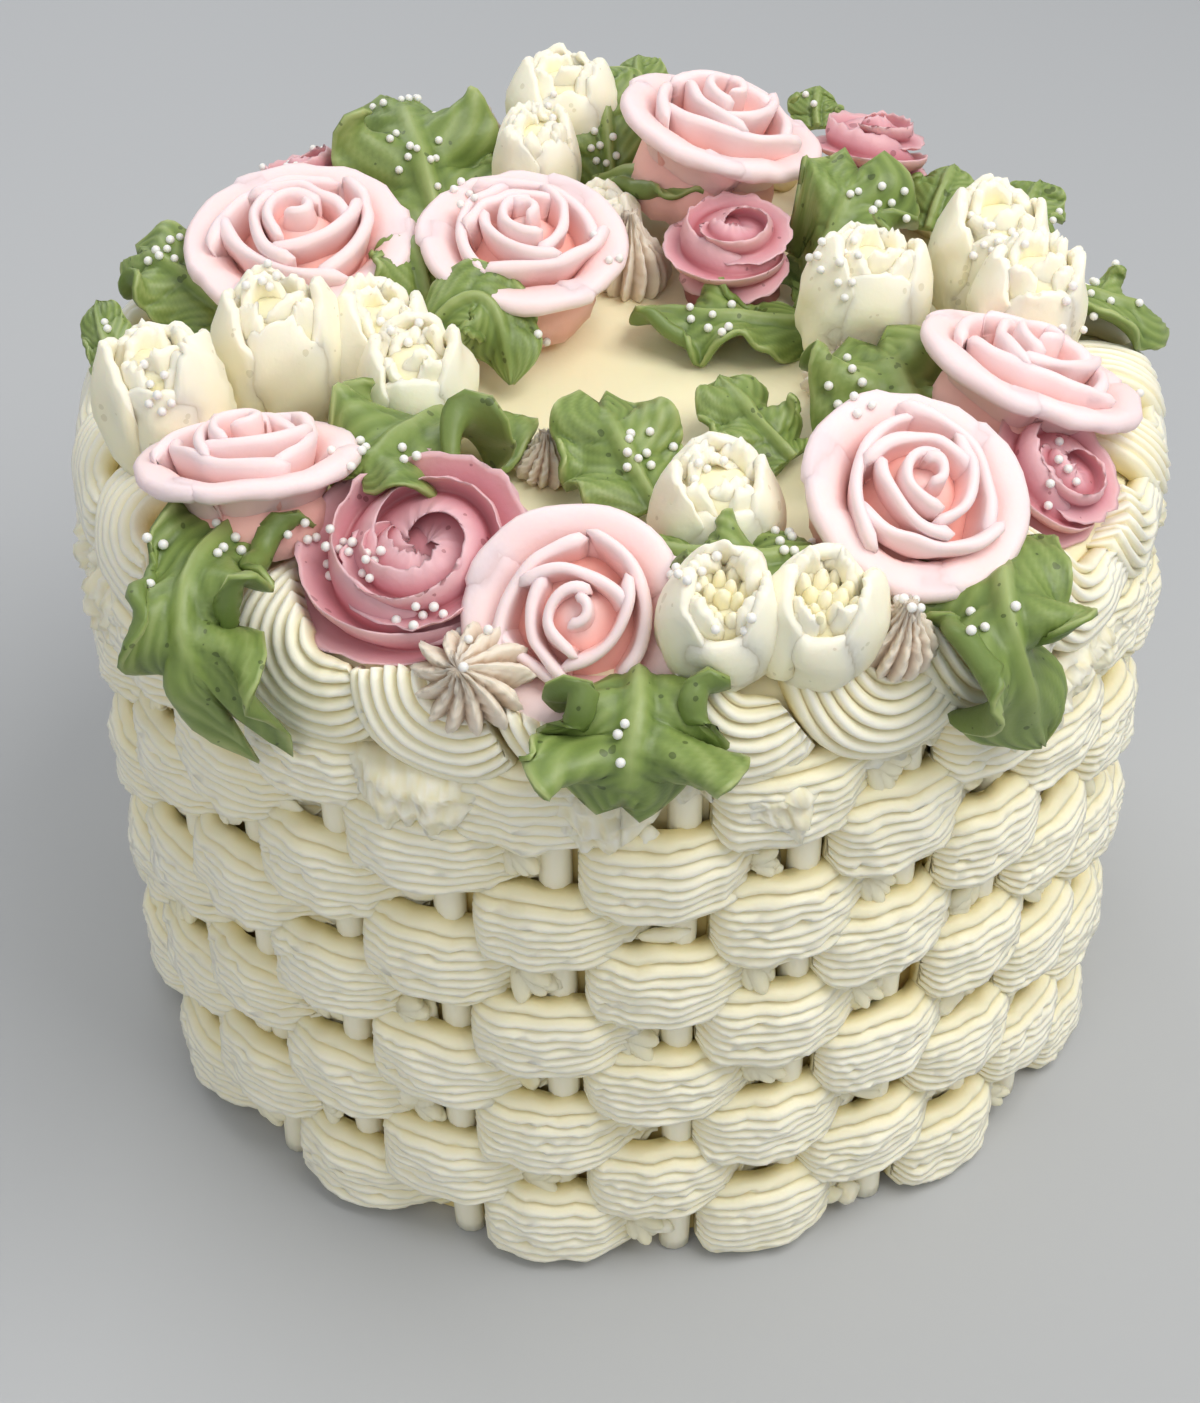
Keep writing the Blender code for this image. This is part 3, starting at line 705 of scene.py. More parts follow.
LEAF_ICING = icing(
    "leaf_icing", (0.06, 0.11, 0.02), (0.205, 0.285, 0.07), (0.40, 0.47, 0.19), 0.44, pits=1.0,
)
PEARL_SUGAR = icing("pearl", (0.86, 0.84, 0.80), (0.90, 0.88, 0.85), (0.93, 0.92, 0.89), 0.3, grain=0.1)


def leaning(lean, towards, turn):
    """Rotation of a flower that leans towards one side and is turned about its own axis."""
    side = direction(towards).cross(Vector((0.0, 0.0, 1.0)))
    tip = Matrix.Rotation(-math.radians(lean), 3, side)
    spin = Matrix.Rotation(math.radians(turn), 3, "Z")
    return np.array(tip @ spin)


def placed(points, place):
    """A flower's points, moved to where it stands: place is its rotation and head."""
    rotation, head = place
    return points @ rotation.T + np.array(head)


def pressed(points, row, share, reach):
    """Points pushed down a flower's axis until they lie under its petals.

    share is how far down that is, by the flower's height, and reach how far out, by its radius.
    """
    _, head, radius, height, lean, towards, _ = row
    axis = leaning(lean, towards, 0.0)[:, 2]
    offset = points - np.array(head)
    rise = offset @ axis
    away = np.linalg.norm(offset - rise[..., None] * axis, axis=-1)
    inside = grow(reach * radius - away, 0.0, 1.5)
    push = np.clip(rise + share * height, 0.0, 14.0) * inside
    return points - push[..., None] * axis


def tucked(name, points):
    """A piece's points, below the flower that it is tucked under, if there is one."""
    for rows, underside in ((ROSES, ROSE_UNDERSIDE), (ROSETTES, ROSETTE_UNDERSIDE)):
        for row in rows:
            if TUCKED_UNDER.get(name) == row[0]:
                points = pressed(points, row, underside, PETALS_REACH)
    return points


def smooth_line(points, count):
    """A smooth line of evenly spread points through a few given ones."""
    points = np.array(points, dtype=float)
    places = np.linspace(0.0, 1.0, len(points))
    wanted = np.linspace(0.0, 1.0, count)
    parts = [knots(wanted, list(zip(places, points[:, axis]))) for axis in range(points.shape[1])]
    return stacked(*parts)


# what a petal's shape is where a flower doesn't say otherwise
PLAIN_PETAL = {
    "power": 3.0, "ragged": 0.0, "tear": 1.6, "thin_rim": 0.0,
    "squash": 1.0, "wobble": 0.25, "lowest": 0.0, "seam": 0.0,
}
PETAL_COLUMNS = 21
PETAL_ROWS = 11
PETAL_SAMPLES = 40
MOUND_SIDES = 32


def petal(form, place, profile, middle, span, thickness, shape):
    """A thick petal with a rounded rim.

    place is the flower's rotation and head. profile is the petal's middle section from foot to rim, as
    distance from the flower's axis and height. middle and span are the petal's angles in degrees.
    shape has chord, how flat the rim runs, and spiral, how much further out the right end lies; left,
    right and power, how much of the height is left at the ends and how late the rim drops to it; ragged
    and tear, how deep and how long the rim's tears are; thin_rim, how much thinner the rim is; squash,
    how flat the flower is; wobble, how uneven the petal is; deep and inner_deep, how far below the rim
    the colour is strongest outside and inside, which on a rose is painted shade down between the petals
    and on a tulip its own yellow; lowest, the outside's least tone; and seam, how much deeper the ends
    are in colour.
    """
    shape = PLAIN_PETAL | shape
    side = np.linspace(-1.0, 1.0, PETAL_COLUMNS)[:, None]
    rise = np.linspace(0.0, 1.0, PETAL_ROWS)[None, :]
    end_height = np.where(side < 0.0, shape["left"], shape["right"])
    seed = int(abs(middle) * 13.0 + place[1][0] * 7.0 + span) % 9973 + 11
    edge = ripple(stacked(side[:, 0] * 9.0, profile[0][0]), shape["tear"], seed)[:, None]
    reach = 1.0 - (1.0 - end_height) * np.abs(side) ** shape["power"]
    reach = reach - shape["ragged"] * (0.5 + 0.5 * edge)
    travel = rise * np.clip(reach, 0.05, 1.0)

    # the section at each place along the rim, and its skin on both sides
    line = smooth_line(profile, PETAL_SAMPLES)
    table = np.linspace(0.0, 1.0, PETAL_SAMPLES)
    section = stacked(*(np.interp(travel, table, line[:, axis]) for axis in range(2)))
    slope = unit(np.gradient(section, axis=1))
    normal = stacked(slope[..., 1], -slope[..., 0])
    pinch = np.sqrt(np.clip(1.0 - grow(np.abs(side), 0.9, 1.0) ** 2, 0.02, 1.0))
    half = 0.5 * thickness * (0.75 + 0.25 * travel) * pinch * (1.0 - shape["thin_rim"] * rise ** 2)
    half = half[..., None]
    cap = np.radians([60.0, 20.0, -20.0, -60.0])[None, :, None]
    bead = half[:, -1:] * (np.sin(cap) * normal[:, -1:] + np.cos(cap) * slope[:, -1:])
    skins = [section + half * normal, section[:, -1:] + bead, (section - half * normal)[:, ::-1]]
    loop = np.concatenate(skins, axis=1)
    out = np.maximum(loop[..., 0], 0.15) * (1.0 + shape["chord"] * (side ** 2 - 0.35))
    angle = np.radians(middle + 0.5 * span * side)
    local = about_axis(angle, out + shape["spiral"] * side, loop[..., 1], shape["squash"])
    uneven = ripple(local, 9.0, seed + 1)[..., None] * np.array([1.0, 1.0, 0.8])
    local = local + shape["wobble"] * uneven

    # the colour deepens below the rim: painted shade down between a rose's petals, a tulip's own yellow; the
    # rim itself is palest
    below = (reach - travel) * np.linalg.norm(np.diff(line, axis=0), axis=1).sum()
    outer_tone = np.maximum(1.0 - below / shape["deep"], shape["lowest"])
    outer_tone = outer_tone - shape["seam"] * np.abs(side) ** 7.0
    inner_tone = 1.0 - below / shape["inner_deep"]
    rim_tone = np.ones((PETAL_COLUMNS, cap.size))
    tone = np.concatenate([outer_tone, rim_tone, inner_tone[:, ::-1]], axis=1)
    form.loft(placed(local, place), tone)


def mound(form, place, profile, tones, squash=1.0):
    """A filled mound turned about a flower's axis, from its foot to its top, under the petals."""
    angles = np.linspace(0.0, 2.0 * math.pi, MOUND_SIDES, endpoint=False)[None, :]
    out, up = np.array(profile).T[..., None]
    local = about_axis(angles, out, up, squash)
    local = local + 0.35 * ripple(local, 7.0, int(abs(place[1][0]) * 9.0))[..., None]
    form.loft(placed(local, place), np.array(tones)[:, None])


# a rose's petals from the bud outwards, by shares of its radius and height: the section from foot to rim,
# the first direction, how many, their span and thickness, how flat the rims run, and how far down the
# outside and the inside the pale colour reaches before painted shade deepens it to coral
ROSE_RINGS = [
    ([(0.06, -0.30), (0.13, 0.00), (0.11, 0.25)], 40.0, 1, 225.0, 0.100, 0.10, 7.0, 6.0),
    ([(0.16, -0.30), (0.25, 0.00), (0.25, 0.23)], 215.0, 1, 225.0, 0.105, 0.26, 7.0, 7.0),
    ([(0.26, -0.50), (0.39, -0.15), (0.45, 0.13)], 20.0, 3, 148.0, 0.118, 0.30, 8.0, 9.0),
    ([(0.40, -0.75), (0.59, -0.32), (0.68, 0.03)], 80.0, 3, 144.0, 0.125, 0.26, 9.0, 11.0),
    (
        [(0.42, -0.98), (0.56, -0.62), (0.71, -0.32), (0.86, -0.17), (1.0, -0.17)],
        25.0, 3, 150.0, 0.175, 0.03, 26.0, 20.0,
    ),
]

# the mound between a rose's petals, and its tone from foot to top, painted shade that is deepest down
# between the petals
ROSE_FLOOR = [
    (0.78, -0.95), (0.74, -0.60), (0.62, -0.38), (0.50, -0.24),
    (0.38, -0.13), (0.26, -0.03), (0.14, 0.07), (0.03, 0.13),
]
ROSE_FLOOR_SHADE_TONES = [0.3, 0.15, 0.05, 0.05, 0.1, 0.2, 0.4, 0.6]


def rose(form, row):
    """A rose: a folded bud, two rings of three upright petals and a ring of three wide flat ones."""
    _, head, radius, height, *stance = row
    place = (leaning(*stance), head)
    chance = np.random.default_rng(int(radius * 10 + abs(head[0]) * 3 + abs(head[1])))
    mound(form, place, scaled(ROSE_FLOOR, radius, height), ROSE_FLOOR_SHADE_TONES)
    for profile, first, count, span, thickness, chord, deep, inner_deep in ROSE_RINGS:
        section = scaled(profile, radius, height)
        for number in range(count):
            shape = {"left": 0.90, "right": 0.93, "power": 4.0, "deep": deep, "inner_deep": inner_deep}
            shape["chord"] = chord * (1.0 + chance.uniform(-0.3, 0.3))
            shape["spiral"] = (0.02 + 0.12 * chord) * radius * chance.uniform(0.8, 1.3)
            middle = first + 120.0 * number + chance.uniform(-10.0, 10.0)
            wide = span + chance.uniform(-8.0, 8.0)
            petal(form, place, section, middle, wide, thickness * radius, shape)


# a tulip's petals: direction, span, how far out, and how high the top of each stands, by shares of the tulip
TULIP_PETALS = [
    (180, 150, 0.97, 0.02),
    (84, 130, 1.02, -0.02),
    (-86, 130, 1.02, -0.03),
    (0, 116, 0.96, -0.20),
    (46, 80, 0.78, -0.08),
    (-44, 80, 0.78, -0.09),
    (140, 96, 0.74, -0.02),
    (-138, 96, 0.74, -0.03),
]
TULIP_HEART = [(30, 180, 0.48, -0.04), (-150, 190, 0.50, -0.01)]

# how far the front petal is drawn down, where a tulip is open at the front
TULIP_FRONTS = {"tulip_12": -0.37, "tulip_13": -0.37, "tulip_11": -0.24, "tulip_4": -0.24, "tulip_1": -0.22}
OPEN_TULIPS = ("tulip_12", "tulip_13")

# the shape of every tulip's petals, and what is different outside and inside
TULIP_SHAPE = {
    "chord": -0.10, "spiral": 0.45, "left": 0.62, "right": 0.70, "power": 2.4,
    "tear": 2.6, "thin_rim": 0.25, "wobble": 0.50, "seam": 0.45,
}
TULIP_OUTER = {"ragged": 0.04, "deep": 30.0, "inner_deep": 7.0, "lowest": 0.6}
TULIP_INNER = {"ragged": 0.055, "deep": 9.0, "inner_deep": 6.0, "lowest": 0.25}
TULIP_THICKNESS = 2.9
STAMENS = 21
STAMEN_TURN = 137.5
STAMEN_LENGTH = 7.0


def stamens(form, place, top, long_radius, height, squash, chance):
    """A heap of round stamens in a spiral, in a tulip that is open at the front."""
    rotation, _ = place
    for number in range(STAMENS):
        angle = math.radians(number * STAMEN_TURN)
        root = about_axis(angle, 0.135 * long_radius * math.sqrt(number + 0.4), 0.0, squash)
        forward = rotation @ (root * 0.04 + np.array([0.0, 0.0, 1.0]))
        root[2] = (top + 0.13 - 0.006 * number) * height + chance.uniform(-1.3, 1.0) - 6.5
        size = chance.uniform(2.4, 3.3)
        tone = 0.45 + chance.uniform(0.0, 0.4)
        curl = chance.uniform(-0.8, 0.8)
        spot = placed(root, place)
        tongue(form, spot, forward, (0.3, 1.0, 0.1), STAMEN_LENGTH, size, curl, tone, 4.0)


def tulip(form, row):
    """A tulip: bulging outer petals, torn inner ones and a filled heart, or stamens in an open one."""
    name, head, long_radius, short_radius, height, *stance = row
    place = (leaning(*stance), head)
    chance = np.random.default_rng(int(abs(head[0]) * 5 + abs(head[1]) * 3 + height))
    squash = short_radius / long_radius
    is_open = name in OPEN_TULIPS
    for middle, span, share, top in TULIP_PETALS + ([] if is_open else TULIP_HEART):
        if middle == 0:
            top = TULIP_FRONTS.get(name, top)
        top = top + chance.uniform(-0.04, 0.04)
        if share < 0.9:
            kind = TULIP_INNER
            profile = [(0.62, -0.75), (0.85, -0.50), (0.90, -0.30 + 0.4 * top), (0.74, top)]
        else:
            kind = TULIP_OUTER
            mouth = 0.66 + 0.70 * max(0.0, -top - 0.04)
            profile = [(0.50, -1.0), (0.86, -0.80), (0.98, -0.56), (0.94, -0.30 + 0.3 * top), (mouth, top)]
        shape = TULIP_SHAPE | kind | {"squash": squash}
        if is_open:
            shape["inner_deep"] *= 2.0
        section = scaled(profile, share * long_radius, height)
        middle = middle + chance.uniform(-9.0, 9.0)
        petal(form, place, section, middle, span, TULIP_THICKNESS, shape)
    top = -0.23 if is_open else -0.12
    filling = [(0.80, -0.80), (0.84, -0.50), (0.66, top - 0.10), (0.40, top - 0.02), (0.04, top)]
    mound(form, place, scaled(filling, long_radius, height), [0.3, 0.3, 0.3, 0.45, 0.55], squash)
    if is_open:
        stamens(form, place, top, long_radius, height, squash, chance)


# the mound in a rosette's crown, and a blade of its rope: places from one crest to the next and how far
# out each one is
ROSETTE_HEART = [(0.62, -0.95), (0.50, -0.62), (0.36, -0.30), (0.20, -0.24), (0.02, -0.20)]
BLADE_PLACES = [0.0, 0.03, 0.09, 0.20, 0.36, 0.55, 0.74, 0.90, 0.97]
BLADE_REACH = [1.0, 0.86, 0.64, 0.48, 0.40, 0.44, 0.60, 0.83, 0.96]
ROPE_STEPS = 96
ROPE_TURNS = 1.55


def repeated(count, places, reach):
    """A section repeated round an axis: each point's place round it from 0 to 1, and how far out it is."""
    around = ((np.arange(count)[:, None] + places) / count).reshape(-1)
    return around[None, :], np.tile(reach, count)[None, :]


def rosette(form, row):
    """A rosette: a rope with sharp blades, wound outwards from a hollow crown and drawn off to a tail."""
    name, head, radius, height, *stance = row
    place = (leaning(*stance), head)
    # painted shade in the crown's hollow
    mound(form, place, scaled(ROSETTE_HEART, radius, height), [0.2, 0.15, 0.2, 0.3, 0.35])
    blades = 9 if radius > 20.0 else 5
    travel = np.linspace(0.0, 1.0, ROPE_STEPS)[:, None]
    winding = np.radians(360.0 * ROPE_TURNS * (travel - 1.0) - 30.0)
    swell = np.sqrt(np.clip((travel + 0.01) / 0.10, 0.0, 1.0))
    swell = swell * (1.0 - 0.93 * grow(travel, 0.74, 1.0) ** 1.5)
    rope = radius * (0.26 + 0.26 * travel) * swell
    around, blade = repeated(blades, BLADE_PLACES, BLADE_REACH)
    angle = 2.0 * math.pi * around + 3.4 * travel + 0.62 * (blade - 0.40)
    flat = stacked(travel * 60.0, around * 40.0)
    thickness = rope * blade + 0.25 * ripple(flat, 9.0, int(radius * 31.0)) * swell
    thickness = thickness + 0.45 * blade ** 4 * ripple(flat, 2.2, int(radius * 37.0)) * swell
    out = radius * (0.26 + 0.33 * travel) + thickness * np.cos(angle)
    up = np.maximum(-height * (0.18 + 0.36 * travel) + 0.82 * thickness * np.sin(angle), -height)
    local = stacked(out * np.cos(winding), out * np.sin(winding), up)
    # painted shade in the hollows between the blades, painted light on their crests
    form.loft(tucked(name, placed(local, place)), 0.05 + 0.95 * ((blade - 0.40) / 0.60) ** 0.75)


# a star's section from its foot to its peak, and one of its ridges: places from one crest to the next and
# how far out each one is
STAR_DOME = [(0.0, 0.70), (0.12, 0.92), (0.30, 1.0), (0.5, 0.88), (0.75, 0.52), (0.92, 0.24), (1.0, 0.10)]
RIDGE_PLACES = [0.0, 0.10, 0.24, 0.40, 0.50, 0.60, 0.76, 0.90]
RIDGE_REACH = [1.0, 0.98, 0.88, 0.68, 0.60, 0.68, 0.88, 0.98]
STAR_RIDGES = 13
STAR_ROWS = 22


def star(form, row):
    """A star: narrow blunt ridges, torn at their ends, that run in to a ragged peak."""
    _, head, radius, height, lean, towards, turn = row
    place = (leaning(lean, towards, turn), head)
    chance = np.random.default_rng(int(radius * 7))
    levels = np.linspace(0.0, 1.0, STAR_ROWS)[:, None]
    around, ridge = repeated(STAR_RIDGES, RIDGE_PLACES, RIDGE_REACH)
    lengths = np.repeat(chance.uniform(0.84, 1.06, STAR_RIDGES), len(RIDGE_PLACES))[None, :]
    groove = 1.0 - (1.0 - ridge) * (0.35 + 0.50 * np.sin(math.pi * (0.1 + 0.9 * levels)))
    flat = stacked(levels * 12.0, around * 60.0)
    torn = 0.25 * ripple(flat, 2.2, int(radius * 13.0))
    torn = torn + 0.5 * levels ** 3 * ripple(flat, 1.6, int(radius * 17.0))
    out = radius * knots(levels, STAR_DOME) * groove * lengths + torn
    up = height * (levels - 1.0 + 0.14 * grow(levels, 0.8, 1.0)) + torn
    angle = 2.0 * math.pi * around + 0.35 * levels + math.radians(turn)
    # painted shade in the grooves between the ridges, painted light on their crests
    form.loft(placed(about_axis(angle, out, up), place), 0.10 + 0.85 * ((ridge - 0.60) / 0.40) ** 0.8)


# where the edge of a leaf is rolled over: side, middle and length by shares of the leaf's length, and turn
LEAF_ROLLS = {
    "leaf_5": [(1, 0.45, 0.30, 250), (-1, 0.75, 0.16, 150)],
    "leaf_8": [(1, 0.55, 0.20, 120), (-1, 0.3, 0.2, 100)],
    "leaf_9": [(1, 0.36, 0.26, 260), (-1, 0.70, 0.22, 230)],
    "leaf_11": [(-1, 0.35, 0.22, 160), (1, 0.75, 0.15, 140)],
    "leaf_14": [(-1, 0.30, 0.20, 200), (-1, 0.72, 0.18, 170)],
    "leaf_15": [(-1, 0.55, 0.25, 150), (1, 0.30, 0.22, 180)],
    "leaf_16": [(-1, 0.30, 0.20, 300), (-1, 0.60, 0.16, 260), (1, 0.50, 0.24, 280), (1, 0.24, 0.14, 120)],
    "leaf_17": [(1, 0.34, 0.24, 290), (-1, 0.24, 0.20, 260), (1, 0.62, 0.12, 120)],
    "leaf_18": [(1, 0.48, 0.24, 290), (-1, 0.62, 0.20, 260)],
}

PLAIN_ROLLS = [(1, 0.4, 0.2, 100), (-1, 0.65, 0.2, 110)]

# how much of its width a leaf keeps on one side, where a flower stands close by: side and share
LEAF_NARROW = {"leaf_8": (-1, 0.75), "leaf_18": (-1, 0.88), "leaf_16": (1, 0.82)}
LEAF_ROWS = 50
LEAF_CELLS = 31


def leaf_line(row, reach):
    """Points along a leaf, whose vein runs through three given ones, and the leaf's direction there."""
    root, middle, tip = (np.array(part, dtype=float) for part in row[1:4])
    control = 2.0 * middle - 0.5 * (root + tip)
    spot = (1.0 - reach) ** 2 * root + 2.0 * reach * (1.0 - reach) * control + reach ** 2 * tip
    return spot, unit(2.0 * (1.0 - reach) * (control - root) + 2.0 * reach * (tip - control))


def leaf_facing(spot, forward, roll):
    """Directions across a leaf and out of it: it lies open upwards, or outwards where it hangs down."""
    level = spot * np.array([1.0, 1.0, 0.0])
    distance = np.linalg.norm(level, axis=-1, keepdims=True)
    hang = np.clip((TOP_HEIGHT + 8.0 - spot[..., 2:]) / 16.0, 0.0, 1.0) * (distance > RIM_RADIUS)
    facing = level / distance * hang + np.array([0.0, 0.0, 1.0]) * (1.0 - hang)
    across = unit(np.cross(forward, facing))
    normal = np.cross(across, forward)
    sine = math.sin(math.radians(roll))
    cosine = math.cos(math.radians(roll))
    return across * cosine - normal * sine, normal * cosine + across * sine


def from_vein(steps, side):
    """Steps across a leaf summed outwards from its vein."""
    right = np.cumsum(np.where(side > 0.0, steps, 0.0), axis=1)
    left = np.cumsum(np.where(side < 0.0, steps, 0.0)[:, ::-1], axis=1)[:, ::-1]
    return right + left


def leaf(form, row):
    """A leaf: blades of rounded lobes either side of a raised vein, ruffled and rolled at the edges."""
    name, root, _, _, half_width, roll, ruffle, waves, notch = row
    seed = int(abs(root[0]) * 17 + abs(root[1]) * 7 + half_width)
    chance = np.random.default_rng(seed)
    along = np.linspace(0.0, 1.0, LEAF_ROWS)[:, None]
    across = np.linspace(-1.0, 1.0, LEAF_CELLS)[None, :]
    side = np.sign(across)
    size = np.abs(across)
    reach = along * (1.0 - notch * (1.0 - 1.6 * size) * along ** 3)
    spot, forward = leaf_line(row, reach[..., None])
    sideways, normal = leaf_facing(spot, forward, roll)

    # each blade's outline: rounded lobes, wide in the middle and closing in to a blunt end
    end = grow(along, 0.80, 1.0)
    spread = 0.34 + 0.66 * np.sin(math.pi * np.minimum(1.0, 0.14 + 0.72 * along) ** 0.95) ** 0.7
    spread = spread * (1.0 - (0.93 - 1.6 * notch) * end ** 2.6)
    lean = along - 0.12 * size
    starts = chance.uniform(0.0, math.pi, 2)
    beat = math.pi * (waves + 1.1) * lean + np.where(side > 0.0, starts[0], starts[1])
    lobe = np.abs(np.sin(beat)) ** 0.55
    width = half_width * 1.14 * spread * (1.0 - 0.44 * (1.0 - lobe) * size ** 2)
    narrow_side, share = LEAF_NARROW.get(name, (1, 1.0))
    width = width * np.where(side == narrow_side, share, 1.0)

    # the slope of each blade across the leaf: it droops, rises and falls in ruffles and rolls over
    phases = chance.uniform(0.0, 2.0 * math.pi, 2)
    phase = 2.0 * math.pi * waves * lean + np.where(side > 0.0, phases[0], phases[1])
    strength = 0.42 * ruffle * (0.35 + 0.65 * along) * (1.0 - 0.6 * end)
    slope = strength * np.sin(phase) * size ** 0.6 - 0.22
    slope = slope + 0.40 * strength * np.sin(2.3 * phase + 1.0) * size ** 2
    slope = slope + 0.35 * strength * np.sin(4.1 * phase + 2.0) * size ** 3
    edge = grow(size, 0.45, 1.0)
    for rolled_side, centre, length, rolled in LEAF_ROLLS.get(name, PLAIN_ROLLS):
        extent = np.exp(-((along - centre) / (0.5 * length)) ** 4) * (side == rolled_side)
        slope = slope + math.radians(rolled) * extent * edge ** 1.4
    step = width / (0.5 * (LEAF_CELLS - 1))
    place = side * from_vein(step * np.cos(slope), side)
    lift = from_vein(step * np.sin(slope), side)
    centre = spot + sideways * place[..., None] + normal * lift[..., None]

    # the relief of the upper side: creases between the lobes, fine ribs and the vein
    crease = np.clip(3.0 * size, 0.0, 1.0) * np.clip(3.0 - 2.6 * size, 0.0, 1.0)
    crease = -0.8 * crease * np.exp(-(lobe / 0.35) ** 2)
    ribs = 0.19 * np.sin(2.0 * math.pi * 9.0 * (along - 0.45 * size) + 2.0 * size + seed) * size ** 0.6
    vein = np.exp(-(across / 0.07) ** 2) - 0.6 * np.exp(-((size - 0.17) / 0.07) ** 2)
    vein = vein * np.clip(1.5 - 1.3 * along, 0.0, 1.0)

    # thickness along the blade's own normal
    skin = unit(np.cross(np.gradient(centre, axis=1), np.gradient(centre, axis=0)))
    outwards = np.sign((skin * normal).sum(axis=-1)[:, LEAF_CELLS // 2])
    skin = skin * outwards[:, None, None]
    thick = (0.50 + 0.70 * (1.0 - size ** 3.0)) * np.clip(1.3 - along ** 8, 0.6, 1.0)
    bumps = 0.25 * ripple(centre, 12.0, seed) + 0.05 * ripple(centre, 3.2, seed + 3)
    upper = centre + skin * (thick + vein + crease + ribs + bumps)[..., None]
    lower = centre - skin * (thick - bumps)[..., None]
    # painted shade in the creases, beside the vein and on the underside; painted light on the vein, ribs and
    # raised parts, and a painted highlight along the edge; the rest varies at random
    tone = 0.50 + 0.02 * lift + 0.30 * np.clip(vein, -0.6, 1.0) + 0.22 * crease + ribs
    tone = tone + 0.06 * ripple(centre, 14.0, seed + 5) + 0.38 * grow(size, 0.92, 1.0)
    loops = np.concatenate([upper, lower[:, ::-1]], axis=1)
    form.loft(tucked(name, loops), np.concatenate([tone, np.full(tone.shape, 0.34)], axis=1))


def family(slot, rows, maker, material):
    """All the flowers of one kind, each as its own piece in place of its own solid."""
    made = []
    for row in rows:
        form = Form()
        maker(form, row)
        made.append(form.piece(f"{row[0]}_icing", material, slot, [row[0]]))
    return made


flowers = family("rose_icing", ROSES, rose, ROSE_ICING)
flowers += family("tulip_icing", TULIPS, tulip, TULIP_ICING)
flowers += family("rosette_icing", ROSETTES, rosette, ROSETTE_ICING)
flowers += family("star_icing", STARS, star, STAR_ICING)
flowers += family("leaf_icing", LEAVES, leaf, LEAF_ICING)

cake_body()
weave_strips()
weave()
frills()
rim()


# sugar pearls

# clusters of pearls, by pixels of the photograph: middle, spread across and down, how many
PEARL_CLUSTERS = [
    (420, 150, 45, 28, 16), (455, 190, 25, 20, 6), (600, 150, 24, 24, 14), (165, 250, 22, 16, 9),
    (100, 320, 12, 22, 4), (160, 395, 22, 40, 10), (265, 285, 34, 22, 7), (400, 330, 30, 20, 6),
    (375, 455, 50, 22, 9), (300, 530, 30, 16, 7), (350, 560, 36, 36, 16), (430, 620, 40, 22, 9),
    (235, 545, 26, 26, 12), (150, 560, 26, 40, 8), (640, 450, 34, 26, 12), (700, 465, 30, 20, 6),
    (690, 575, 36, 30, 9), (790, 545, 30, 22, 11), (735, 620, 50, 20, 5), (850, 390, 30, 34, 10),
    (840, 270, 40, 40, 12), (880, 200, 40, 26, 9), (1000, 240, 44, 40, 13), (1060, 470, 24, 40, 9),
    (1085, 300, 26, 36, 8), (715, 320, 40, 24, 10), (560, 340, 30, 16, 4), (900, 600, 22, 26, 6),
    (630, 745, 40, 30, 4), (1000, 620, 50, 30, 6), (545, 100, 30, 30, 6), (820, 95, 20, 14, 4),
    (470, 660, 34, 34, 4), (610, 250, 24, 30, 4),
]
PEARLS_ROUND_THE_BACK = 90
PEARL_RADIUS = 0.82
LOWEST_PEARL = 112.0


def camera_axes():
    """The camera's right, up and forward directions."""
    pitch = math.radians(CAMERA_PITCH)
    yaw = math.radians(CAMERA_YAW)
    roll = math.radians(CAMERA_ROLL)
    forward = Vector((math.sin(yaw) * math.cos(pitch), math.cos(yaw) * math.cos(pitch), -math.sin(pitch)))
    level = Vector((math.cos(yaw), -math.sin(yaw), 0.0))
    upright = level.cross(forward)
    right = level * math.cos(roll) + upright * math.sin(roll)
    up = upright * math.cos(roll) - level * math.sin(roll)
    return right, up, forward


def surface_tree(things):
    """A search tree over the faces of several meshes, in millimetres."""
    corners = []
    faces = []
    count = 0
    for thing in things:
        mesh = thing.data
        places = np.empty(len(mesh.vertices) * 3)
        mesh.vertices.foreach_get("co", places)
        corners.append(places.reshape(-1, 3) / MM)
        faces.extend([[count + number for number in face.vertices] for face in mesh.polygons])
        count += len(mesh.vertices)
    return BVHTree.FromPolygons(np.concatenate(corners).tolist(), faces)


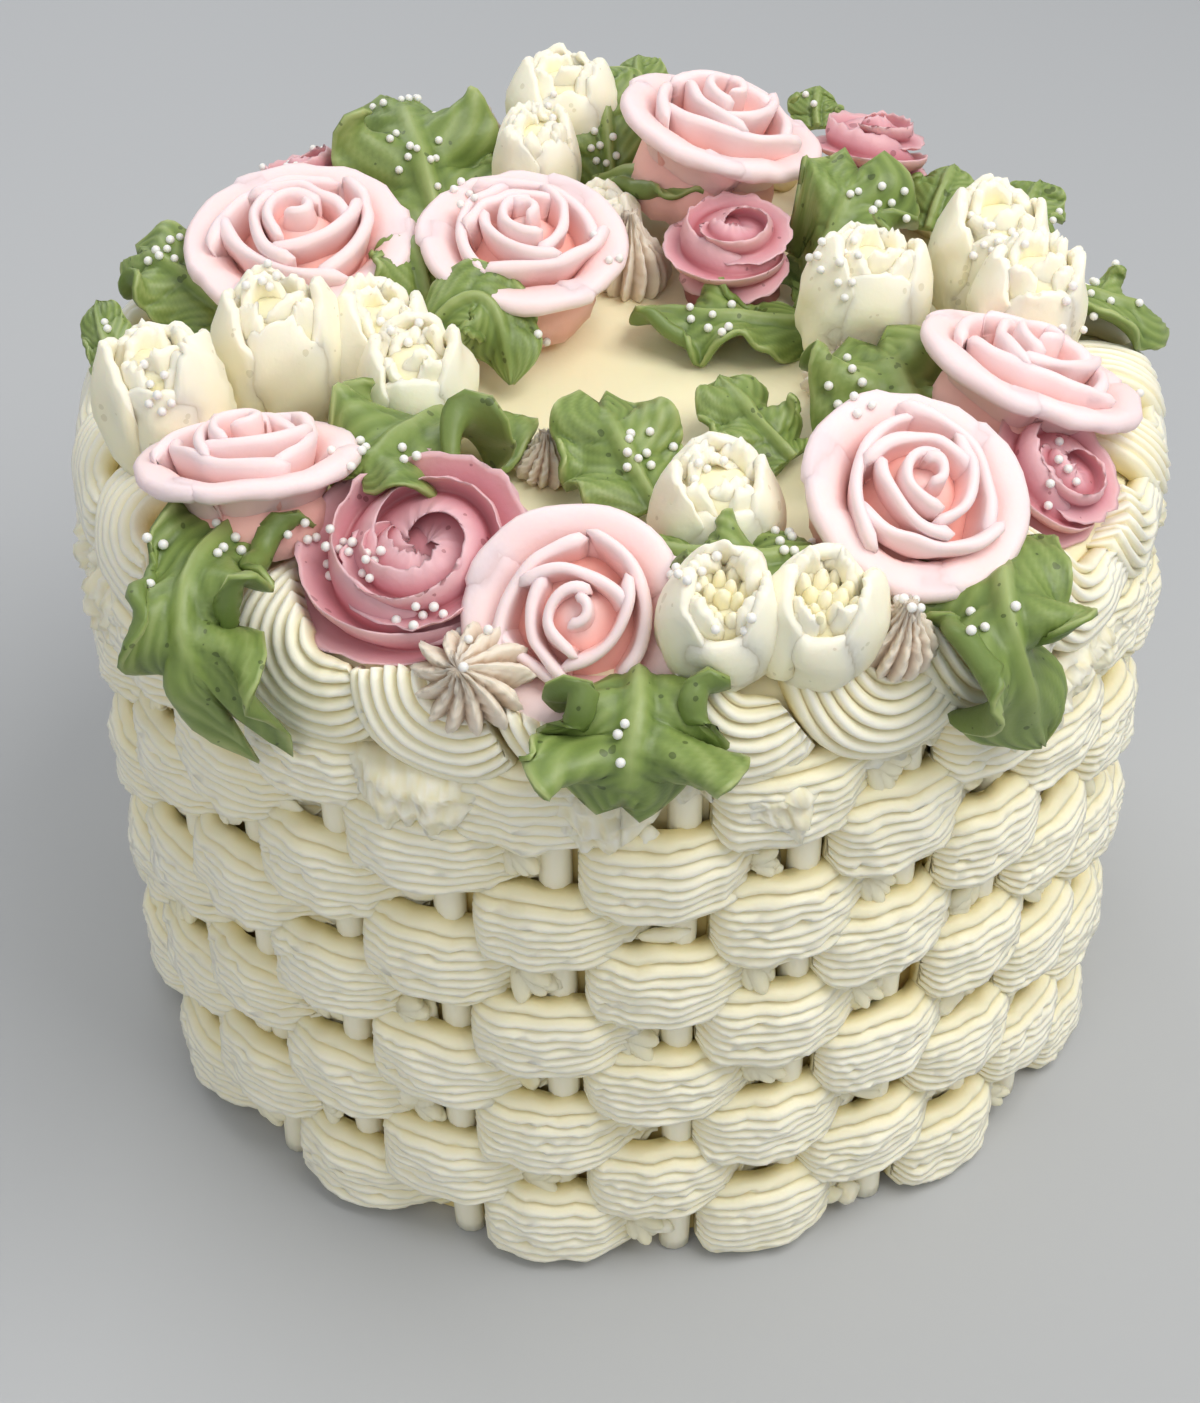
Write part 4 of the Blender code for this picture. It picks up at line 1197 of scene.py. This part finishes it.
def pearls(things):
    """Small white balls that sit on the flowers and leaves, in loose clusters all the way round."""
    tree = surface_tree(things)
    chance = np.random.default_rng(77)
    right, up, forward = camera_axes()
    start = Vector(CAMERA_PLACE)
    spots = []

    def settle(origin, way):
        """Sits a pearl where a line first meets the flowers, clear of the other pearls."""
        place, normal, _, _ = tree.ray_cast(origin, way)
        if place is None or place.z < LOWEST_PEARL:
            return
        if normal.dot(way) > 0.0:
            normal = -normal
        spot = place + normal * PEARL_RADIUS * 0.6
        if all((spot - other).length > 2.05 * PEARL_RADIUS for other in spots):
            spots.append(spot)

    for middle_x, middle_y, spread_x, spread_y, count in PEARL_CLUSTERS:
        for _ in range(count):
            x = middle_x + spread_x * chance.uniform(-1.0, 1.0) * chance.uniform(0.4, 1.0)
            y = middle_y + spread_y * chance.uniform(-1.0, 1.0) * chance.uniform(0.4, 1.0)
            aside = right * ((x - 0.5 * PHOTO_WIDTH) / FOCAL_PIXELS)
            below = up * ((y - 0.5 * PHOTO_HEIGHT) / FOCAL_PIXELS)
            settle(start, (forward + aside - below).normalized())
    for number in range(PEARLS_ROUND_THE_BACK):
        cluster = np.random.default_rng(300 + number // 6)
        bearing = 180.0 + 115.0 * cluster.uniform(-1.0, 1.0) + 5.0 * chance.uniform(-1.0, 1.0)
        out = direction(bearing)
        height = cluster.uniform(136.0, 152.0) + 5.0 * chance.uniform(-1.0, 1.0)
        origin = out * 160.0 + Vector((0.0, 0.0, height + 30.0))
        settle(origin, (-out + Vector((0.0, 0.0, -0.45))).normalized())

    work = bmesh.new()
    for spot in spots:
        radius = PEARL_RADIUS * MM * chance.uniform(0.92, 1.08)
        made = bmesh.ops.create_icosphere(work, subdivisions=2, radius=radius)
        bmesh.ops.translate(work, verts=made["verts"], vec=spot * MM)
    mesh = bpy.data.meshes.new("pearls")
    smooth_mesh(work, mesh)
    mesh.materials.append(PEARL_SUGAR)
    thing = add_object("pearls", mesh)
    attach(thing, "root")


pearls(flowers)


# camera, light and floor

def camera():
    """The camera of the photograph."""
    right, up, forward = camera_axes()
    data = bpy.data.cameras.new("camera")
    data.sensor_width = 36.0
    data.lens = 36.0 * FOCAL_PIXELS / PHOTO_HEIGHT
    data.clip_start = 0.01
    thing = add_object("camera", data)
    turned = Matrix((right, up, -forward)).transposed()
    thing.matrix_world = Matrix.Translation(Vector(CAMERA_PLACE) * MM) @ turned.to_4x4()
    bpy.context.scene.camera = thing


def soft_light(name, place, target, size, power, color=(1.0, 1.0, 1.0)):
    """A square soft light that points at a target."""
    data = bpy.data.lights.new(name, "AREA")
    data.size = size
    data.energy = power
    data.color = color
    thing = add_object(name, data)
    thing.location = place
    thing.rotation_euler = (Vector(target) - Vector(place)).to_track_quat("-Z", "Y").to_euler()


def studio():
    """A pale floor, a pale surrounding and three soft lights."""
    work = bmesh.new()
    bmesh.ops.create_circle(work, cap_ends=True, segments=64, radius=3.0)
    mesh = bpy.data.meshes.new("floor")
    work.to_mesh(mesh)
    work.free()
    floor = add_object("floor", mesh)
    material, tree, shader = new_material("floor")
    set_inputs(shader, {"Roughness": 0.6})
    clouds = add_node(tree, "TexNoise", {"Scale": 4.0}, {})
    ramp = add_ramp(tree, clouds.outputs["Fac"], (0.43, 0.44, 0.455), (0.48, 0.49, 0.50))
    tree.links.new(ramp.outputs["Color"], shader.inputs["Base Color"])
    mesh.materials.append(material)

    world = bpy.data.worlds.new("surroundings")
    bpy.context.scene.world = world
    world.use_nodes = True
    backdrop = world.node_tree.nodes["Background"]
    set_inputs(backdrop, {"Color": (0.93, 0.96, 1.0, 1.0), "Strength": 0.46})
    soft_light("key", (0.46, -0.22, 0.95), (0.0, 0.0, 0.10), 0.7, 7.6, (1.0, 0.98, 0.94))
    soft_light("front", (-0.30, -0.95, 0.80), (0.0, 0.0, 0.08), 0.8, 2.4, (1.0, 0.99, 0.97))
    soft_light("back", (-0.40, 0.70, 0.75), (0.0, 0.0, 0.12), 0.6, 2.6)


camera()
studio()
bpy.context.scene.view_settings.view_transform = "Standard"
